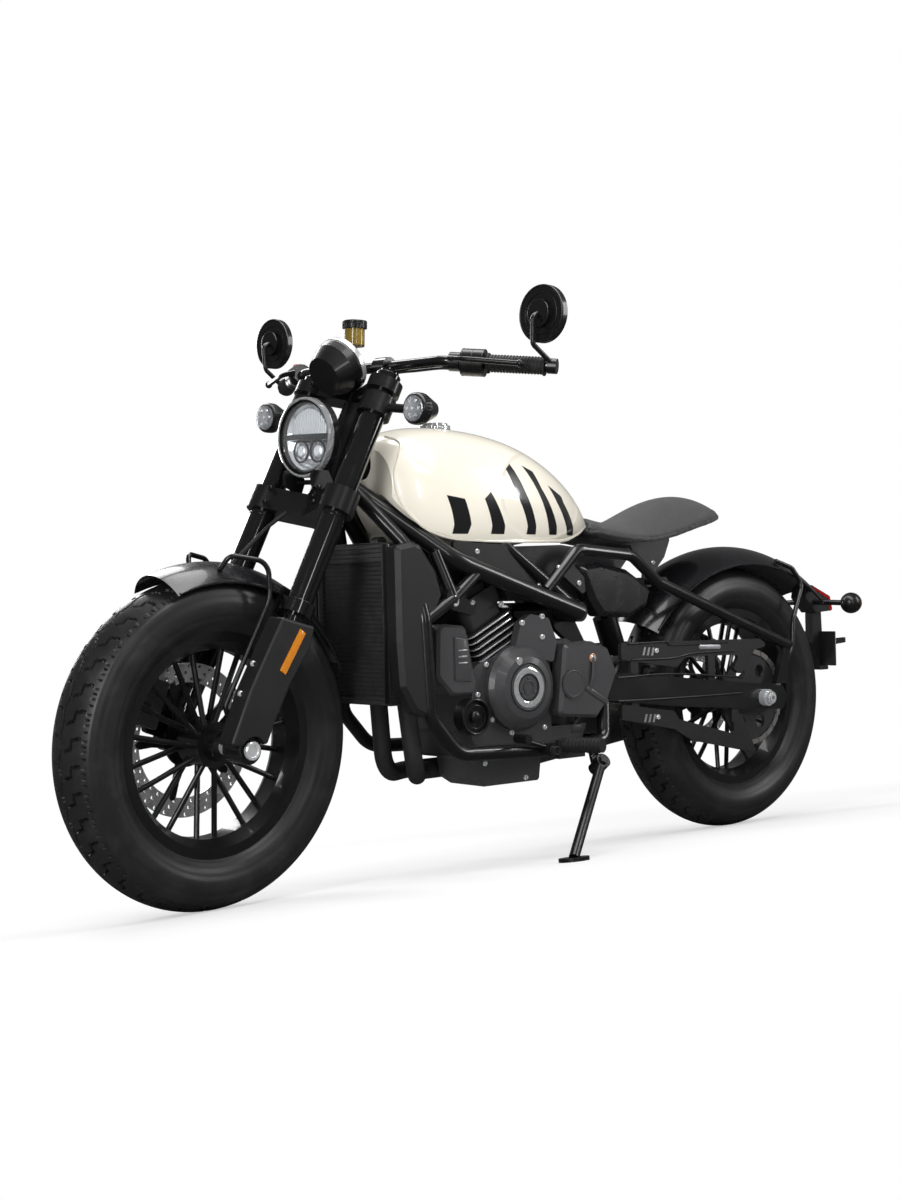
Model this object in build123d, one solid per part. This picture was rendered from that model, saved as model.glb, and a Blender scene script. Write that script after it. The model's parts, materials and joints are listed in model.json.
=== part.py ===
from build123d import *
import math
import os

# Bobber motorcycle, parked on its side stand.
#
# The machine is drawn upright in its own frame: +X to the front wheel, +Y to the rider's left, +Z up,
# on the ground midway between the axles. The steered pieces are drawn straight ahead and then turned
# about the steering axis. Last, everything is leaned onto the side stand, and the origin goes to the
# floor under the middle of the whole machine. All sizes are millimetres.

# Driving dimensions of the chassis
WHEELBASE = 1485.0
RAKE_DEG = 27.0
FORK_OFFSET = 45.0
LEAN_DEG = 8.0
STEER_REST_DEG = 6.7
STEER_LIMIT_DEG = 35.0

# Driving dimensions of the wheels
FRONT_TYRE_RADIUS = 320.0
REAR_TYRE_RADIUS = 323.0
FRONT_TYRE_WIDTH = 130.0
REAR_TYRE_WIDTH = 150.0
CROWN_CENTRE_RADIUS = 230.0
BEAD_RADIUS = 203.0
FLANGE_RADIUS = 216.0
FRONT_RIM_WIDTH = 88.0
REAR_RIM_WIDTH = 100.0
RIM_WALL = 6.0
FLANGE_THICKNESS = 4.0
SPOKE_PAIRS = 10
AXLE_RADIUS = 10.0
AXLE_BORE_RADIUS = 5.0
SPACER_RADIUS = 16.0
HUB_RADIUS = 30.0
DISC_THICKNESS = 5.0

# Points of the front end are written from the front axle, and those of the rear end from the rear
# axle, so both ends move with the wheelbase and the tyres.


def from_front(points):
    """Points given from the front axle, in the machine's own frame."""
    moved = []
    for point in points:
        moved.append((point[0] + WHEELBASE / 2, *point[1:-1], point[-1] + FRONT_TYRE_RADIUS))
    return moved


def from_rear(points):
    """Points given from the rear axle, in the machine's own frame."""
    moved = []
    for point in points:
        moved.append((point[0] - WHEELBASE / 2, *point[1:-1], point[-1] + REAR_TYRE_RADIUS))
    return moved


# Driving dimensions of the fork and steering
FORK_HALF_SPACING = 110.0
FORK_TUBE_RADIUS = 25.0
FORK_SLIDER_RADIUS = 19.0
FORK_TOP = 806.0
FORK_TUBE_BOTTOM = 302.0
LOWER_CLAMP = (496.0, 544.0)
UPPER_CLAMP = (766.0, 792.0)
SIGNAL_COLLAR = (714.0, 756.0)
STEM_RADIUS = 16.0
HEAD_TUBE_RADIUS = 32.0
BAR_RADIUS = 11.0
GRIP_RADIUS = 16.5

# Clearances
FIT = 0.3
SHAFT_FIT = 0.1

# Frame tubing
SPAR_RADIUS = 19.0
CRADLE_RADIUS = 15.0
BRACE_RADIUS = 13.0
FRAME_HALF_WIDTH = 140.0
CRADLE_HALF_WIDTH = 150.0
PIVOT = (-195.0, 385.0)
PLUG = (-128.0, 547.0)

# Wheels' fittings
FRONT_HUB_HALF = 60.0
REAR_HUB_HALF = 74.0
FRONT_DISC_RADIUS = 150.0
REAR_DISC_RADIUS = 120.0
SPROCKET_THICKNESS = 7.0

# Chain and sprockets
CHAIN_Y = 92.0
CHAIN_WIDTH = 16.0
CHAIN_HALF_HEIGHT = 8.0
CHAIN_FIT = 0.6
FRONT_PITCH_RADIUS = 38.0
REAR_PITCH_RADIUS = 111.0
FRONT_SPROCKET = (-150.0, 400.0)

# Steering head and what turns with it; points are (x, y, z) with the steering straight ahead
HEAD_TUBE = (550.0, 760.0)
SEAL_RING = (275.0, 301.0)
LUG_RADIUS = 24.0
AXLE_BOSS_RADIUS = 27.0
COVER_OUTER_Y = 146.0
RISER_Y = 55.0
HANDLEBAR = from_front([(-404.5, 75, 742), (-416.5, 205, 746), (-525.5, 405, 732)])
RESERVOIR = from_front([(-452.5, -88, 822)])[0]
MIRROR = from_front([(-494.5, 406, 830)])[0]
MIRROR_RADIUS = 56.0
GAUGE_FACE = from_front([(-344.5, 0, 748)])[0]
GAUGE_FACING = (-0.87, 0, 0.49)
GAUGE_RADIUS = 58.0
HEADLIGHT = from_front([(-240.5, 0, 593)])[0]
HEADLIGHT_RADIUS = 80.0
LAMP_ARM = from_front(
    [(-226.5, 486), (-264.5, 474), (-276.5, 506), (-258.5, 538), (-230.5, 538), (-222.5, 516)]
)
LAMP_BAR = from_front([(-256.5, 504)])[0]
LAMP_ARM_Y = 46.0
GAUGE_BRACKET = from_front([(-324.5, 0, 690)])[0]
FRONT_SIGNAL = from_front([(-332.5, 226, 646)])[0]
CALIPER = from_front([(95.5, 80)])[0]
CALIPER_FACE_Y = 94.0
CALIPER_LUG = from_front(
    [
        (-52.5, 132), (63.5, 132), (83.5, 110), (69.5, 16), (27.5, 2), (2.5, 15), (-42.5, 80),
    ]
)
FENDER_STAY = from_front(
    [
        (5.5, 48.6, 333.4), (-4.5, 64.6, 360), (-74.5, 92, 348), (-78.5, 94, 280), (25.5, 92, 80),
        (8.4, 94, 26.2),
    ]
)
HOSE_ROUTE = from_front(
    [
        (-214.5, -24, 443), (-182.5, -40, 415), (-102.5, -70, 330), (2.5, -84, 220), (72.5, -80, 135),
    ]
)
# Fork cover, seen from the side: (along the leg from the axle, ahead of the leg)
COVER_OUTLINE = [
    (-14, 52), (24, -26), (70, -24), (150, -26), (225, -38), (268, -30), (250, 50), (190, 54), (100, 58),
]

# Frame tubes
BACKBONE_RADIUS = 22.0
PIVOT_PIN_RADIUS = 10.0
PIVOT_PLATE_Y = (58.0, 74.0)
CASE_HALF = 112.0
HEAD_JOINTS = from_front([(-344.5, 0, 578), (-313.5, 14, 516), (-317.5, 12, 525)])
BACKBONE = [HEAD_JOINTS[0], (250, 0, 800), (-110, 0, 640)]
# Tubes drawn on the left and mirrored: points (x, y, z), radius, bend radius at each corner
SIDE_TUBES = [
    ([HEAD_JOINTS[1], (225, 138, 662), (-128, 138, 547)], SPAR_RADIUS, [90]),
    ([HEAD_JOINTS[2], (330, 112, 694), (318, 150, 545), (308, 150, 345), (238, 150, 266),
      (-60, 150, 254), (-190, 140, 262), (-212, 120, 340)], CRADLE_RADIUS, [60, 80, 60, 70, 60, 30]),
    ([(270, 128, 680), (240, 147, 588)], BRACE_RADIUS, []),
    ([(316, 150, 540), (238, 148, 584), (160, 139, 640)], BRACE_RADIUS, [40]),
    ([(-118, 136, 556), (60, 112, 690), (150, 30, 752)], BRACE_RADIUS, [60]),
    ([(-30, 136, 596), (-130, 132, 684), (-300, 132, 670), (-392, 122, 610), (-429.4, 121.8, 596.8)],
     BRACE_RADIUS, [40, 60, 40]),
    ([(-128, 84, 547), (-338, 84, 561)], 11, []),
]
PIVOT_PLATE = [
    (-98, 562), (-150, 566), (-238, 420), (-236, 256), (-184, 248), (-172, 320), (-172, 466), (-112, 512),
]
CRADLE_END = (-195.0, 262.0)
SHOCK_TOP = (-330.0, 560.0)
SHOCK_FOOT = (-384.0, 420.0)
SHOCK_PIN_RADIUS = 8.0
SHOCK_EYE_HALF = 18.0
SHOCK_SPRING_RADIUS = 28.0
SEAT_TUBE = (-420.0, 611.0)
MOUNT_BOSS = (238.0, 584.0)
HEAD_MOUNT = [(232, 604), (256, 588), (240, 566), (150, 546), (140, 572)]
# Swingarm and what it carries, side views as (x, z)
ARM_INNER_Y = 108.0
ARM_OUTER_Y = 138.0
ARM_END = from_rear([(-72.5, 25), (-89.5, -1), (-72.5, -33)])
ARM_OUTLINE = [(-170, 412), (-282, 404), *ARM_END, (-480, 316), (-170, 352)]
UPPER_GUARD_END = from_rear(
    [(88.5, 144), (6.5, 143), (-25.5, 125), (26.5, 117), (74.5, 61), (106.5, 73), (82.5, 107)]
)
UPPER_GUARD = [(-258, 474), *UPPER_GUARD_END, (-471, 434), (-440, 410), (-258, 436)]
LOWER_GUARD_END = from_rear([(106.5, -81), (110.5, -33), (78.5, -35), (24.5, -133)])
LOWER_GUARD = [
    (-256, 336), (-429, 310), (-443, 290), *LOWER_GUARD_END, (-487, 238), (-428, 268), (-256, 302),
]
# Tabs of the guards: x of the middle, low z, high z
UPPER_GUARD_TABS = [(-300, 390, 442), (-560, 360, 440)]
LOWER_GUARD_TABS = [(-300, 300, 350), (102.5 - WHEELBASE / 2, REAR_TYRE_RADIUS - 53, REAR_TYRE_RADIUS - 3)]
RAIL = [(-429.7, 121.8, 596.7), *from_rear([(-115.5, 120, 123)])]
RAIL_FOOT = from_rear([(-123.5, 129), (-99.5, 129), (-63.5, 29), (-103.5, 29)])
LOOP = from_rear(
    [
        (-124.5, 82, 332.2), (-168.1, 98, 313.8), (-197.7, 106, 273), (-149.5, 113, 185),
        (-137.5, 119, 117), (-107.5, 119, 73),
    ]
)

# Engine, side views as (x, z)
CRANK = (39.0, 391.0)
GENERATOR_RADIUS = 92.0
CASE_OUTLINE = [
    (-165, 300), (-165, 455), (-110, 490), (60, 470), (160, 440), (172, 300), (140, 240), (-140, 238),
]
SUMP_OUTLINE = [(-60, 250), (150, 250), (140, 200), (110, 182), (-50, 182)]
COVER_EAR = [(-52, 440), (-62, 487), (-40, 536), (12, 546), (40, 530), (60, 470)]
SPROCKET_COVER = [
    (-72, 478), (-154, 482), (-206, 466), (-233, 411), (-202, 348), (-168, 313), (-52, 322),
]
CYLINDER_LEAN_DEG = 26.0
CYLINDER_FOOT = (58.0, 440.0)
CYLINDER_HEAD_TOP = 128.0
CYLINDER_HALF = CASE_HALF - 12
FIN_COUNT = 6
FIN_START = 26.0
FIN_PITCH = 14.0
FIN_THICKNESS = 5.0
FIN_DEPTH = 132.0
REGULATOR_BOX = [(262, 520), (250, 532), (186, 526), (160, 402), (170, 382), (228, 384), (266, 424)]
HORN = (181.0, 338.0)
SPROCKET_COVER_DEPTH = 35.7
REGULATOR_Y = (CASE_HALF - 38, CASE_HALF + 14)

# Radiator and its side panels
RADIATOR_X = (352.5, 386.0)
SHROUD = [
    (388, 690), (345, 698), (325, 692), (285, 640), (270, 591), (298, 540), (300, 380), (316, 342),
    (352, 360), (382, 410), (388, 500),
]
SHROUD_HOLLOW = [(380, 680), (345, 686), (330, 680), (300, 640), (312, 540), (314, 390), (372, 410)]

# Tank sections: x, top z, crown radius, shoulder half width, foot half width, foot z
TANK_SECTIONS = [
    (350, 900, 110, 62, 96, 792),
    (300, 932, 140, 92, 122, 738),
    (170, 946, 160, 104, 126, 705),
    (0, 924, 150, 94, 114, 703),
    (-140, 862, 110, 64, 84, 706),
    (-246, 772, 50, 28, 42, 738),
]
CAP_FOOT = (157, 0, 930)

# Saddle sections: x, top z, edge z, half width, thickness at the middle
SEAT_SECTIONS = [
    (-140, 742, 732, 40, 26),
    (-260, 760, 728, 82, 40),
    (-380, 756, 712, 128, 46),
    (-500, 802, 738, 142, 50),
    (-610, 808, 762, 118, 44),
    (-656, 786, 774, 70, 26),
]
SEAT_BASE = [(-266, 740), (-420, 740), (-520, 770), (-524, 726), (-424, 690), (-266, 704)]
SEAT_LEG = [
    (-350, 716), (-500, 744), (-500, 706), (-482, 668), (-452, 638), (-434, 598), (-408, 598), (-412, 642),
]

# Covers and panels, side views as (x, z)
SIDE_COVER = [
    (-134, 648), (-199, 655), (-288, 638), (-366, 594), (-352, 556), (-293, 530), (-201, 535), (-172, 571),
]
TRIANGLE_PANEL = [(232, 703), (72, 694), (-66, 595), (-52, 585), (171, 659)]
TRIANGLE_PANEL_Y = (CYLINDER_HALF + 12, CYLINDER_HALF + 22)
SEAT_PLATE = [(-36, 658), (-100, 661), (-146, 623), (-151, 579)]
AIRBOX_HALF = 92.0
AIRBOX = [(36, 574), (100, 690), (-120, 695), (-284, 676), (-290, 574)]

# Exhaust: the headers leave the head square to the cylinders, then follow the route's points
# (x, y of the left pipe, y of the right pipe, z)
HEADER_RADIUS = 19.0
PORT_HEIGHT = 114.0
PORT_Y = 46.0
HEADER_ROUTE = [
    (292, 46, -46, 400), (266, 46, -62, 212), (176, -60, -108, 212), (-60, -66, -112, 212),
]
COLLECTOR_RADIUS = 23.0
COLLECTOR = [(-100, -89, 212), (-170, -112, 214), (-239, -148, 231)]
SILENCER = ((-240, -148, 232), (-600, -196, 262))
SILENCER_RADIUS = 48.0

# Side stand: pivot (x, y, z), its folded direction, and where the foot stands from the pivot
STAND_PIVOT = (-150, 172, 218)
STAND_FOLDED = (-0.995, 0, 0.1)
STAND_FOOT_AHEAD = 200.0
STAND_FOOT_OUT = 90.0
STAND_KNUCKLE = 18.0
STAND_PIN_RADIUS = 6.0
STAND_PAD = 8.0

# Rear end; the mudguard's arc has its own centre, behind and below the axle
REAR_GUARD_CENTRE = from_rear([(-19.5, -117)])[0]
REAR_GUARD_HALF = 92.0
REAR_GUARD_EDGE = 440.0
REAR_GUARD_CROWN = 488.0
GUARD_THICKNESS = 3.0
FRONT_GUARD_HALF = 70.0
FRONT_GUARD_EDGE = FRONT_TYRE_RADIUS - 12
FRONT_GUARD_CROWN = FRONT_TYRE_RADIUS + 27
FRONT_GUARD_START_DEG = 68.0
FRONT_GUARD_SWEEP_DEG = 88.0
REAR_GUARD_START_DEG = 40.0
REAR_GUARD_SWEEP_DEG = 90.0
TAIL_LAMP = from_rear(
    [
        (-315.5, 237), (-323.5, 271), (-343.5, 269), (-417.5, 239), (-427.5, 201), (-357.5, 197),
    ]
)
TAIL_HANGER = from_rear(
    [
        (-357.5, 197), (-393.5, 201), (-397.5, 117), (-421.5, 45), (-385.5, 45), (-357.5, 117),
    ]
)
PLATE_SHEET = from_rear([(-389.5, -60, 57), (-385.5, 60, 147)])
TAIL_LUG = from_rear([(-393.5, 105), (-507.5, 113), (-507.5, 127), (-393.5, 123)])
REAR_SIGNAL = from_rear([(-364.5, 130, 221)])[0]


RAKE = math.radians(RAKE_DEG)
FRONT_AXLE = (WHEELBASE / 2, FRONT_TYRE_RADIUS)
REAR_AXLE = (-WHEELBASE / 2, REAR_TYRE_RADIUS)
ALONG = (-math.sin(RAKE), math.cos(RAKE))
STEER_POINT = (
    FRONT_AXLE[0] - FORK_OFFSET * math.cos(RAKE),
    FRONT_AXLE[1] - FORK_OFFSET * math.sin(RAKE),
)
STEER_PLANE = Plane(
    origin=(STEER_POINT[0], 0, STEER_POINT[1]),
    x_dir=(math.cos(RAKE), 0, math.sin(RAKE)),
    z_dir=(ALONG[0], 0, ALONG[1]),
)


# Shape helpers


def rod(a, b, radius):
    """A round bar from point a to point b."""
    start, end = Vector(a), Vector(b)
    span = end - start
    plane = Plane(origin=start, z_dir=span)
    return extrude(plane * Circle(radius), span.length)


def pipe(points, radius, bend):
    """A round bar bent along points; bend is one radius or one for each corner."""
    path = FilletPolyline(*points, radius=bend) if len(points) > 2 else Line(*points)
    section = Plane(origin=path @ 0, z_dir=path % 0) * Circle(radius)
    return sweep(section, path=path)


def across(centre, y_low, y_high, radius):
    """A round bar across the machine, at centre (x, z)."""
    return rod((centre[0], y_low, centre[1]), (centre[0], y_high, centre[1]), radius)


def plate(outline, y_low, y_high, corner=0):
    """A flat plate standing fore and aft, its outline given as (x, z) points."""
    points = [(x, z) for x, z in outline]
    if corner:
        wire = FilletPolyline(*points, radius=corner, close=True)
    else:
        wire = Polyline(*points, close=True)
    face = Plane.XZ.offset(-y_high) * make_face(wire)
    return extrude(face, y_high - y_low, dir=(0, -1, 0))


def block(low, high):
    """A box between two corners."""
    size = [h - l for l, h in zip(low, high)]
    middle = [(h + l) / 2 for l, h in zip(low, high)]
    return Pos(*middle) * Box(*size)


def turned(profile, centre):
    """A ring round the axle at centre, from a face drawn as (y across, radius)."""
    return Pos(centre[0], 0, centre[1]) * revolve(profile, Axis.Y)


def ring_profile(points):
    """A face in the plane of the axle from (across, radius) points."""
    return make_face(Polyline(*[(0, y, r) for y, r in points], close=True))


def fork_point(along, aside=0.0, ahead=0.0):
    """A point on a fork leg's line: along it from the axle, aside to the left, ahead of it."""
    return (
        FRONT_AXLE[0] + ALONG[0] * along + ahead * math.cos(RAKE),
        aside,
        FRONT_AXLE[1] + ALONG[1] * along + ahead * math.sin(RAKE),
    )


def fork_plane(along, aside=0.0, ahead=0.0):
    """A plane square to the fork leg, its x pointing ahead and its y to the left."""
    return Plane(
        origin=fork_point(along, aside, ahead),
        x_dir=(math.cos(RAKE), 0, math.sin(RAKE)),
        z_dir=(ALONG[0], 0, ALONG[1]),
    )


def fork_bar(low, high, radius, aside=0.0, ahead=0.0):
    """A round bar along the fork between two heights."""
    return extrude(fork_plane(low, aside, ahead) * Circle(radius), high - low)


def fork_block(low, high, ahead, aside, corner=0):
    """A block along the fork: ahead and aside are (low, high) pairs."""
    width, depth = ahead[1] - ahead[0], aside[1] - aside[0]
    outline = RectangleRounded(width, depth, corner) if corner else Rectangle(width, depth)
    middle = Pos((ahead[0] + ahead[1]) / 2, (aside[0] + aside[1]) / 2)
    return extrude(fork_plane(low) * middle * outline, high - low)


# Wheels


def tyre(centre, radius, width, rim_width):
    """A solid ring: an arc for its tread, one for each wall, and a seat on the rim inside."""
    crown = radius - CROWN_CENTRE_RADIUS
    shoulder = width * 0.45
    drop = crown - math.sqrt(crown**2 - shoulder**2)
    bead = rim_width / 2 - FLANGE_THICKNESS
    lip = FLANGE_RADIUS + FIT
    bulge = BEAD_RADIUS + (radius - BEAD_RADIUS) * 0.42

    def walls(side):
        """The edges of one side, from the tread's shoulder in to the bead."""
        top = (0, side * shoulder, radius - drop)
        corner, seat_top = (0, side * rim_width / 2, lip), (0, side * bead, lip)
        return [
            ThreePointArc(top, (0, side * width / 2, bulge), corner),
            Line(corner, seat_top),
            Line(seat_top, (0, side * bead, BEAD_RADIUS)),
        ]

    tread = ThreePointArc((0, shoulder, radius - drop), (0, 0, radius), (0, -shoulder, radius - drop))
    seat_line = Line((0, bead, BEAD_RADIUS), (0, -bead, BEAD_RADIUS))
    return turned(make_face([tread, seat_line] + walls(1) + walls(-1)), centre)


def rim(centre, rim_width, hub_half):
    """Rim barrel, ten forked spokes and hub, in one casting."""
    half = rim_width / 2
    seat = BEAD_RADIUS - FIT
    bead = half - FLANGE_THICKNESS + FIT
    well = seat - 22
    barrel = turned(
        ring_profile(
            [
                (-half, FLANGE_RADIUS),
                (-bead, FLANGE_RADIUS),
                (-bead, seat),
                (bead, seat),
                (bead, FLANGE_RADIUS),
                (half, FLANGE_RADIUS),
                (half, seat - RIM_WALL),
                (half * 0.45, well),
                (-half * 0.45, well),
                (-half, seat - RIM_WALL),
            ]
        ),
        centre,
    )
    hub = across(centre, -hub_half, hub_half, HUB_RADIUS)
    hub += across(centre, -hub_half * 0.55, hub_half * 0.55, HUB_RADIUS + 14)
    spokes = []
    pitch = 360 / SPOKE_PAIRS
    root, tip = HUB_RADIUS + 4, well + 4
    for number in range(SPOKE_PAIRS):
        for side in (-1, 1):
            start = math.radians(number * pitch - side * pitch * 0.06)
            end = math.radians(number * pitch + side * pitch * 0.25)
            lean = side * rim_width * 0.12
            a = (centre[0] + root * math.cos(start), lean, centre[1] + root * math.sin(start))
            b = (centre[0] + tip * math.cos(end), -lean, centre[1] + tip * math.sin(end))
            spokes.append(rod(a, b, 5.5))
    wheel = barrel + hub + spokes
    return wheel - across(centre, -hub_half * 2, hub_half * 2, AXLE_RADIUS + SHAFT_FIT)


def brake_disc(centre, radius, side_y):
    """A disc ring on a five-armed carrier, between y and y plus its thickness."""
    low, high = side_y, side_y + DISC_THICKNESS
    ring = across(centre, low, high, radius) - across(centre, low, high, radius - 38)
    carrier = across(centre, low, high, HUB_RADIUS + 22)
    arms = []
    for number in range(5):
        angle = math.radians(72 * number + 20)
        reach = radius - 30
        tip = (centre[0] + reach * math.cos(angle), centre[1] + reach * math.sin(angle))
        root = (centre[0], centre[1])
        arms.append(strap(root, tip, 9, low, high))
    hole = across(centre, low - 1, high + 1, HUB_RADIUS + FIT)
    return ring + arms + carrier - hole


def strap(a, b, half_width, y_low, y_high):
    """A flat bar from a to b, both (x, z), standing fore and aft."""
    dx, dz = b[0] - a[0], b[1] - a[1]
    length = math.hypot(dx, dz)
    nx, nz = -dz / length * half_width, dx / length * half_width
    corners = [
        (a[0] + nx, a[1] + nz),
        (b[0] + nx, b[1] + nz),
        (b[0] - nx, b[1] - nz),
        (a[0] - nx, a[1] - nz),
    ]
    return plate(corners, y_low, y_high)


def front_disc():
    """The front brake disc, on the wheel's right side."""
    return brake_disc(FRONT_AXLE, FRONT_DISC_RADIUS, -FRONT_HUB_HALF - DISC_THICKNESS + 1)


def rear_disc():
    """The rear brake disc, on the wheel's right side."""
    return brake_disc(REAR_AXLE, REAR_DISC_RADIUS, -REAR_HUB_HALF - DISC_THICKNESS + 1)


def rear_sprocket():
    """The rear sprocket as a disc with lightening holes, just inside the chain's loop."""
    low, high = CHAIN_Y - SPROCKET_THICKNESS / 2, CHAIN_Y + SPROCKET_THICKNESS / 2
    disc = across(REAR_AXLE, low, high, REAR_PITCH_RADIUS - CHAIN_HALF_HEIGHT - CHAIN_FIT)
    disc += across(REAR_AXLE, REAR_HUB_HALF + FIT, high, HUB_RADIUS + 12)
    disc -= across(REAR_AXLE, REAR_HUB_HALF - 1, high + 1, SPACER_RADIUS + 1)
    for number in range(6):
        angle = math.radians(60 * number)
        reach = (REAR_PITCH_RADIUS + HUB_RADIUS) / 2
        spot = (REAR_AXLE[0] + reach * math.cos(angle), REAR_AXLE[1] + reach * math.sin(angle))
        disc -= across(spot, low - 1, high + 1, 16)
    return disc


# Steering, drawn straight ahead


def fork_clamps():
    """Lower and upper clamps joined by the stem that turns in the head tube."""
    result = fork_bar(LOWER_CLAMP[0], UPPER_CLAMP[1] + 8, STEM_RADIUS, 0, -FORK_OFFSET)
    for (low, high), leg_ring, arm, stem_ring in ((LOWER_CLAMP, 36, 30, 34), (UPPER_CLAMP, 35, 22, 28)):
        height = high - low
        result += fork_bar(low, high, stem_ring, 0, -FORK_OFFSET)
        for side in (-1, 1):
            ends = [Pos(0, side * FORK_HALF_SPACING) * Circle(arm), Pos(-FORK_OFFSET, 0) * Circle(arm)]
            outline = make_hull(Sketch(children=ends).edges())
            result += extrude(fork_plane(low) * outline, height)
            result += fork_bar(low, high, leg_ring, side * FORK_HALF_SPACING)
    for side in (-1, 1):
        leg = side * FORK_HALF_SPACING
        result -= fork_bar(LOWER_CLAMP[0] - 1, UPPER_CLAMP[1] + 20, FORK_TUBE_RADIUS + FIT, leg)
    return result


def fork_tubes():
    """The two upper fork tubes with their top caps."""
    legs = []
    for side in (-1, 1):
        leg = side * FORK_HALF_SPACING
        tube = fork_bar(FORK_TUBE_BOTTOM, FORK_TOP, FORK_TUBE_RADIUS, leg)
        tube += fork_bar(FORK_TOP, FORK_TOP + 8, FORK_TUBE_RADIUS - 6, leg)
        legs.append(tube)
    return legs


def fork_sliders():
    """The lower legs: seal ring, stanchion and the lug that holds the axle."""
    legs = []
    for side in (-1, 1):
        leg = side * FORK_HALF_SPACING
        slider = fork_bar(0, FORK_TUBE_BOTTOM - FIT, FORK_SLIDER_RADIUS, leg)
        slider += fork_bar(SEAL_RING[0], SEAL_RING[1], 34, leg)
        slider += across(FRONT_AXLE, leg - side * LUG_RADIUS, leg + side * LUG_RADIUS, AXLE_BOSS_RADIUS)
        slider += fork_bar(0, 60, LUG_RADIUS, leg)
        if side < 0:
            slider += plate(CALIPER_LUG, -CALIPER_FACE_Y - 10, -CALIPER_FACE_Y, 8)
        slider -= across(FRONT_AXLE, leg - 60, leg + 60, AXLE_RADIUS + FIT)
        slider -= stay_rod(side, FIT)
        legs.append(slider)
    return legs


def fork_covers():
    """The moulded covers outside the lower legs, from their side view along the fork."""
    covers = []
    plane = fork_plane(0)
    for side in (-1, 1):
        points = [plane.from_local_coords((ahead, 0, along)) for along, ahead in COVER_OUTLINE]
        wire = FilletPolyline(*[(p.X, 0, p.Z) for p in points], radius=7, close=True)
        inner, outer = side * (FORK_HALF_SPACING - 6), side * COVER_OUTER_Y
        cover = extrude(Pos(0, inner, 0) * make_face(wire), abs(outer - inner), dir=(0, side, 0))
        edges = cover.edges().filter_by_position(
            Axis.Y, min(outer, outer) - 0.01, max(outer, outer) + 0.01
        )
        cover = fillet(edges, 6)
        leg = side * FORK_HALF_SPACING
        cover -= fork_bar(-60, 300, FORK_SLIDER_RADIUS + FIT, leg)
        cover -= fork_bar(-60, 60 + FIT, LUG_RADIUS + FIT, leg)
        cover -= across(FRONT_AXLE, leg - 60, leg + 60, AXLE_BOSS_RADIUS + FIT)
        cover -= fork_bar(SEAL_RING[0] - FIT, SEAL_RING[1] + 60, 34 + FIT, leg)
        covers.append(cover.solids().sort_by(SortBy.VOLUME)[-1])
    return covers


def front_axle():
    """The front axle, its spacers on both sides of the hub, and its end caps."""
    end = FORK_HALF_SPACING + LUG_RADIUS + 2
    axle = across(FRONT_AXLE, -end, end, AXLE_RADIUS)
    for side in (-1, 1):
        inner, outer = FRONT_HUB_HALF + FIT, FORK_HALF_SPACING - LUG_RADIUS - FIT
        axle += across(FRONT_AXLE, side * inner, side * outer, SPACER_RADIUS)
        axle += across(FRONT_AXLE, side * (FORK_HALF_SPACING + LUG_RADIUS + FIT), side * (end + 5), 14)
    return axle - across(FRONT_AXLE, -end - 10, end + 10, AXLE_BORE_RADIUS)


def bar_path():
    """The handlebar's corner points, right end to left end."""
    half = [(x, y, z) for x, y, z in HANDLEBAR]
    return [(x, -y, z) for x, y, z in reversed(half)] + half


def handlebar():
    """The bar and the two risers that hold it on the upper clamp."""
    bar = pipe(bar_path(), BAR_RADIUS, [60, 40, 40, 60])
    for side in (-1, 1):
        y = side * RISER_Y
        top = (HANDLEBAR[0][0], y, HANDLEBAR[0][2])
        foot_plane = fork_plane(UPPER_CLAMP[1] + FIT, y, -FORK_OFFSET + 12)
        riser = rod(foot_plane.origin, top, 15)
        riser += across((top[0], top[2]), y - 17, y + 17, BAR_RADIUS + 9)
        bar += riser
    under = fork_block(UPPER_CLAMP[1] - 60, UPPER_CLAMP[1] + FIT, (-120, 60), (-120, 120))
    return bar - under


def grip_line(distance):
    """A point on the left grip's line, a distance in from the bar's end."""
    bend, end = Vector(*HANDLEBAR[-2]), Vector(*HANDLEBAR[-1])
    return end - (end - bend).normalized() * distance


def bar_sleeve(inner, outer, radius):
    """A sleeve on the left grip's line, between two distances from the bar's end, with a hole."""
    sleeve = rod(grip_line(inner), grip_line(outer), radius)
    return sleeve - rod(grip_line(inner - 20), grip_line(outer + 20), BAR_RADIUS + FIT)


def grips():
    """Rubber grips at both ends of the bar."""
    grip = bar_sleeve(14, 131, GRIP_RADIUS)
    return [grip, mirror(grip, Plane.XZ)]


def hand_controls():
    """Switch box, clamp and lever, for the left hand and mirrored for the right."""
    box = bar_sleeve(136, 182, 27)
    clamp = bar_sleeve(186, 208, 19)
    lever_root = grip_line(197) + Vector(17, 0, 6)
    lever_mid = grip_line(150) + Vector(46, 0, 4)
    lever_tip = grip_line(28) + Vector(54, 0, 0)
    lever = pipe([lever_root, lever_mid, lever_tip], 5.5, 40)
    lever += Pos(*lever_tip) * Sphere(8)
    clamp += lever
    clamp -= rod(grip_line(214), grip_line(180), BAR_RADIUS + FIT)
    left = [box, clamp]
    return left + [mirror(piece, Plane.XZ) for piece in left]


def brake_reservoir():
    """The front brake's fluid pot with its cap and stalk, on the bar's right side."""
    x, y, z = RESERVOIR
    pot = rod((x, y, z - 24), (x, y, z + 14), 21)
    pot += rod((x, y, z + 14), (x, y, z + 30), 25)
    pot += rod((x, y, z - 40), (x, y, z - 24), 6)
    bar_x, _, bar_z = HANDLEBAR[0]
    pot += rod((x, y, z - 38), (bar_x, y, bar_z + 12), 6)
    pot += across((bar_x, bar_z), y - 8, y + 8, BAR_RADIUS + 6)
    return pot - pipe(bar_path(), BAR_RADIUS + FIT, [60, 40, 40, 60])


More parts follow.
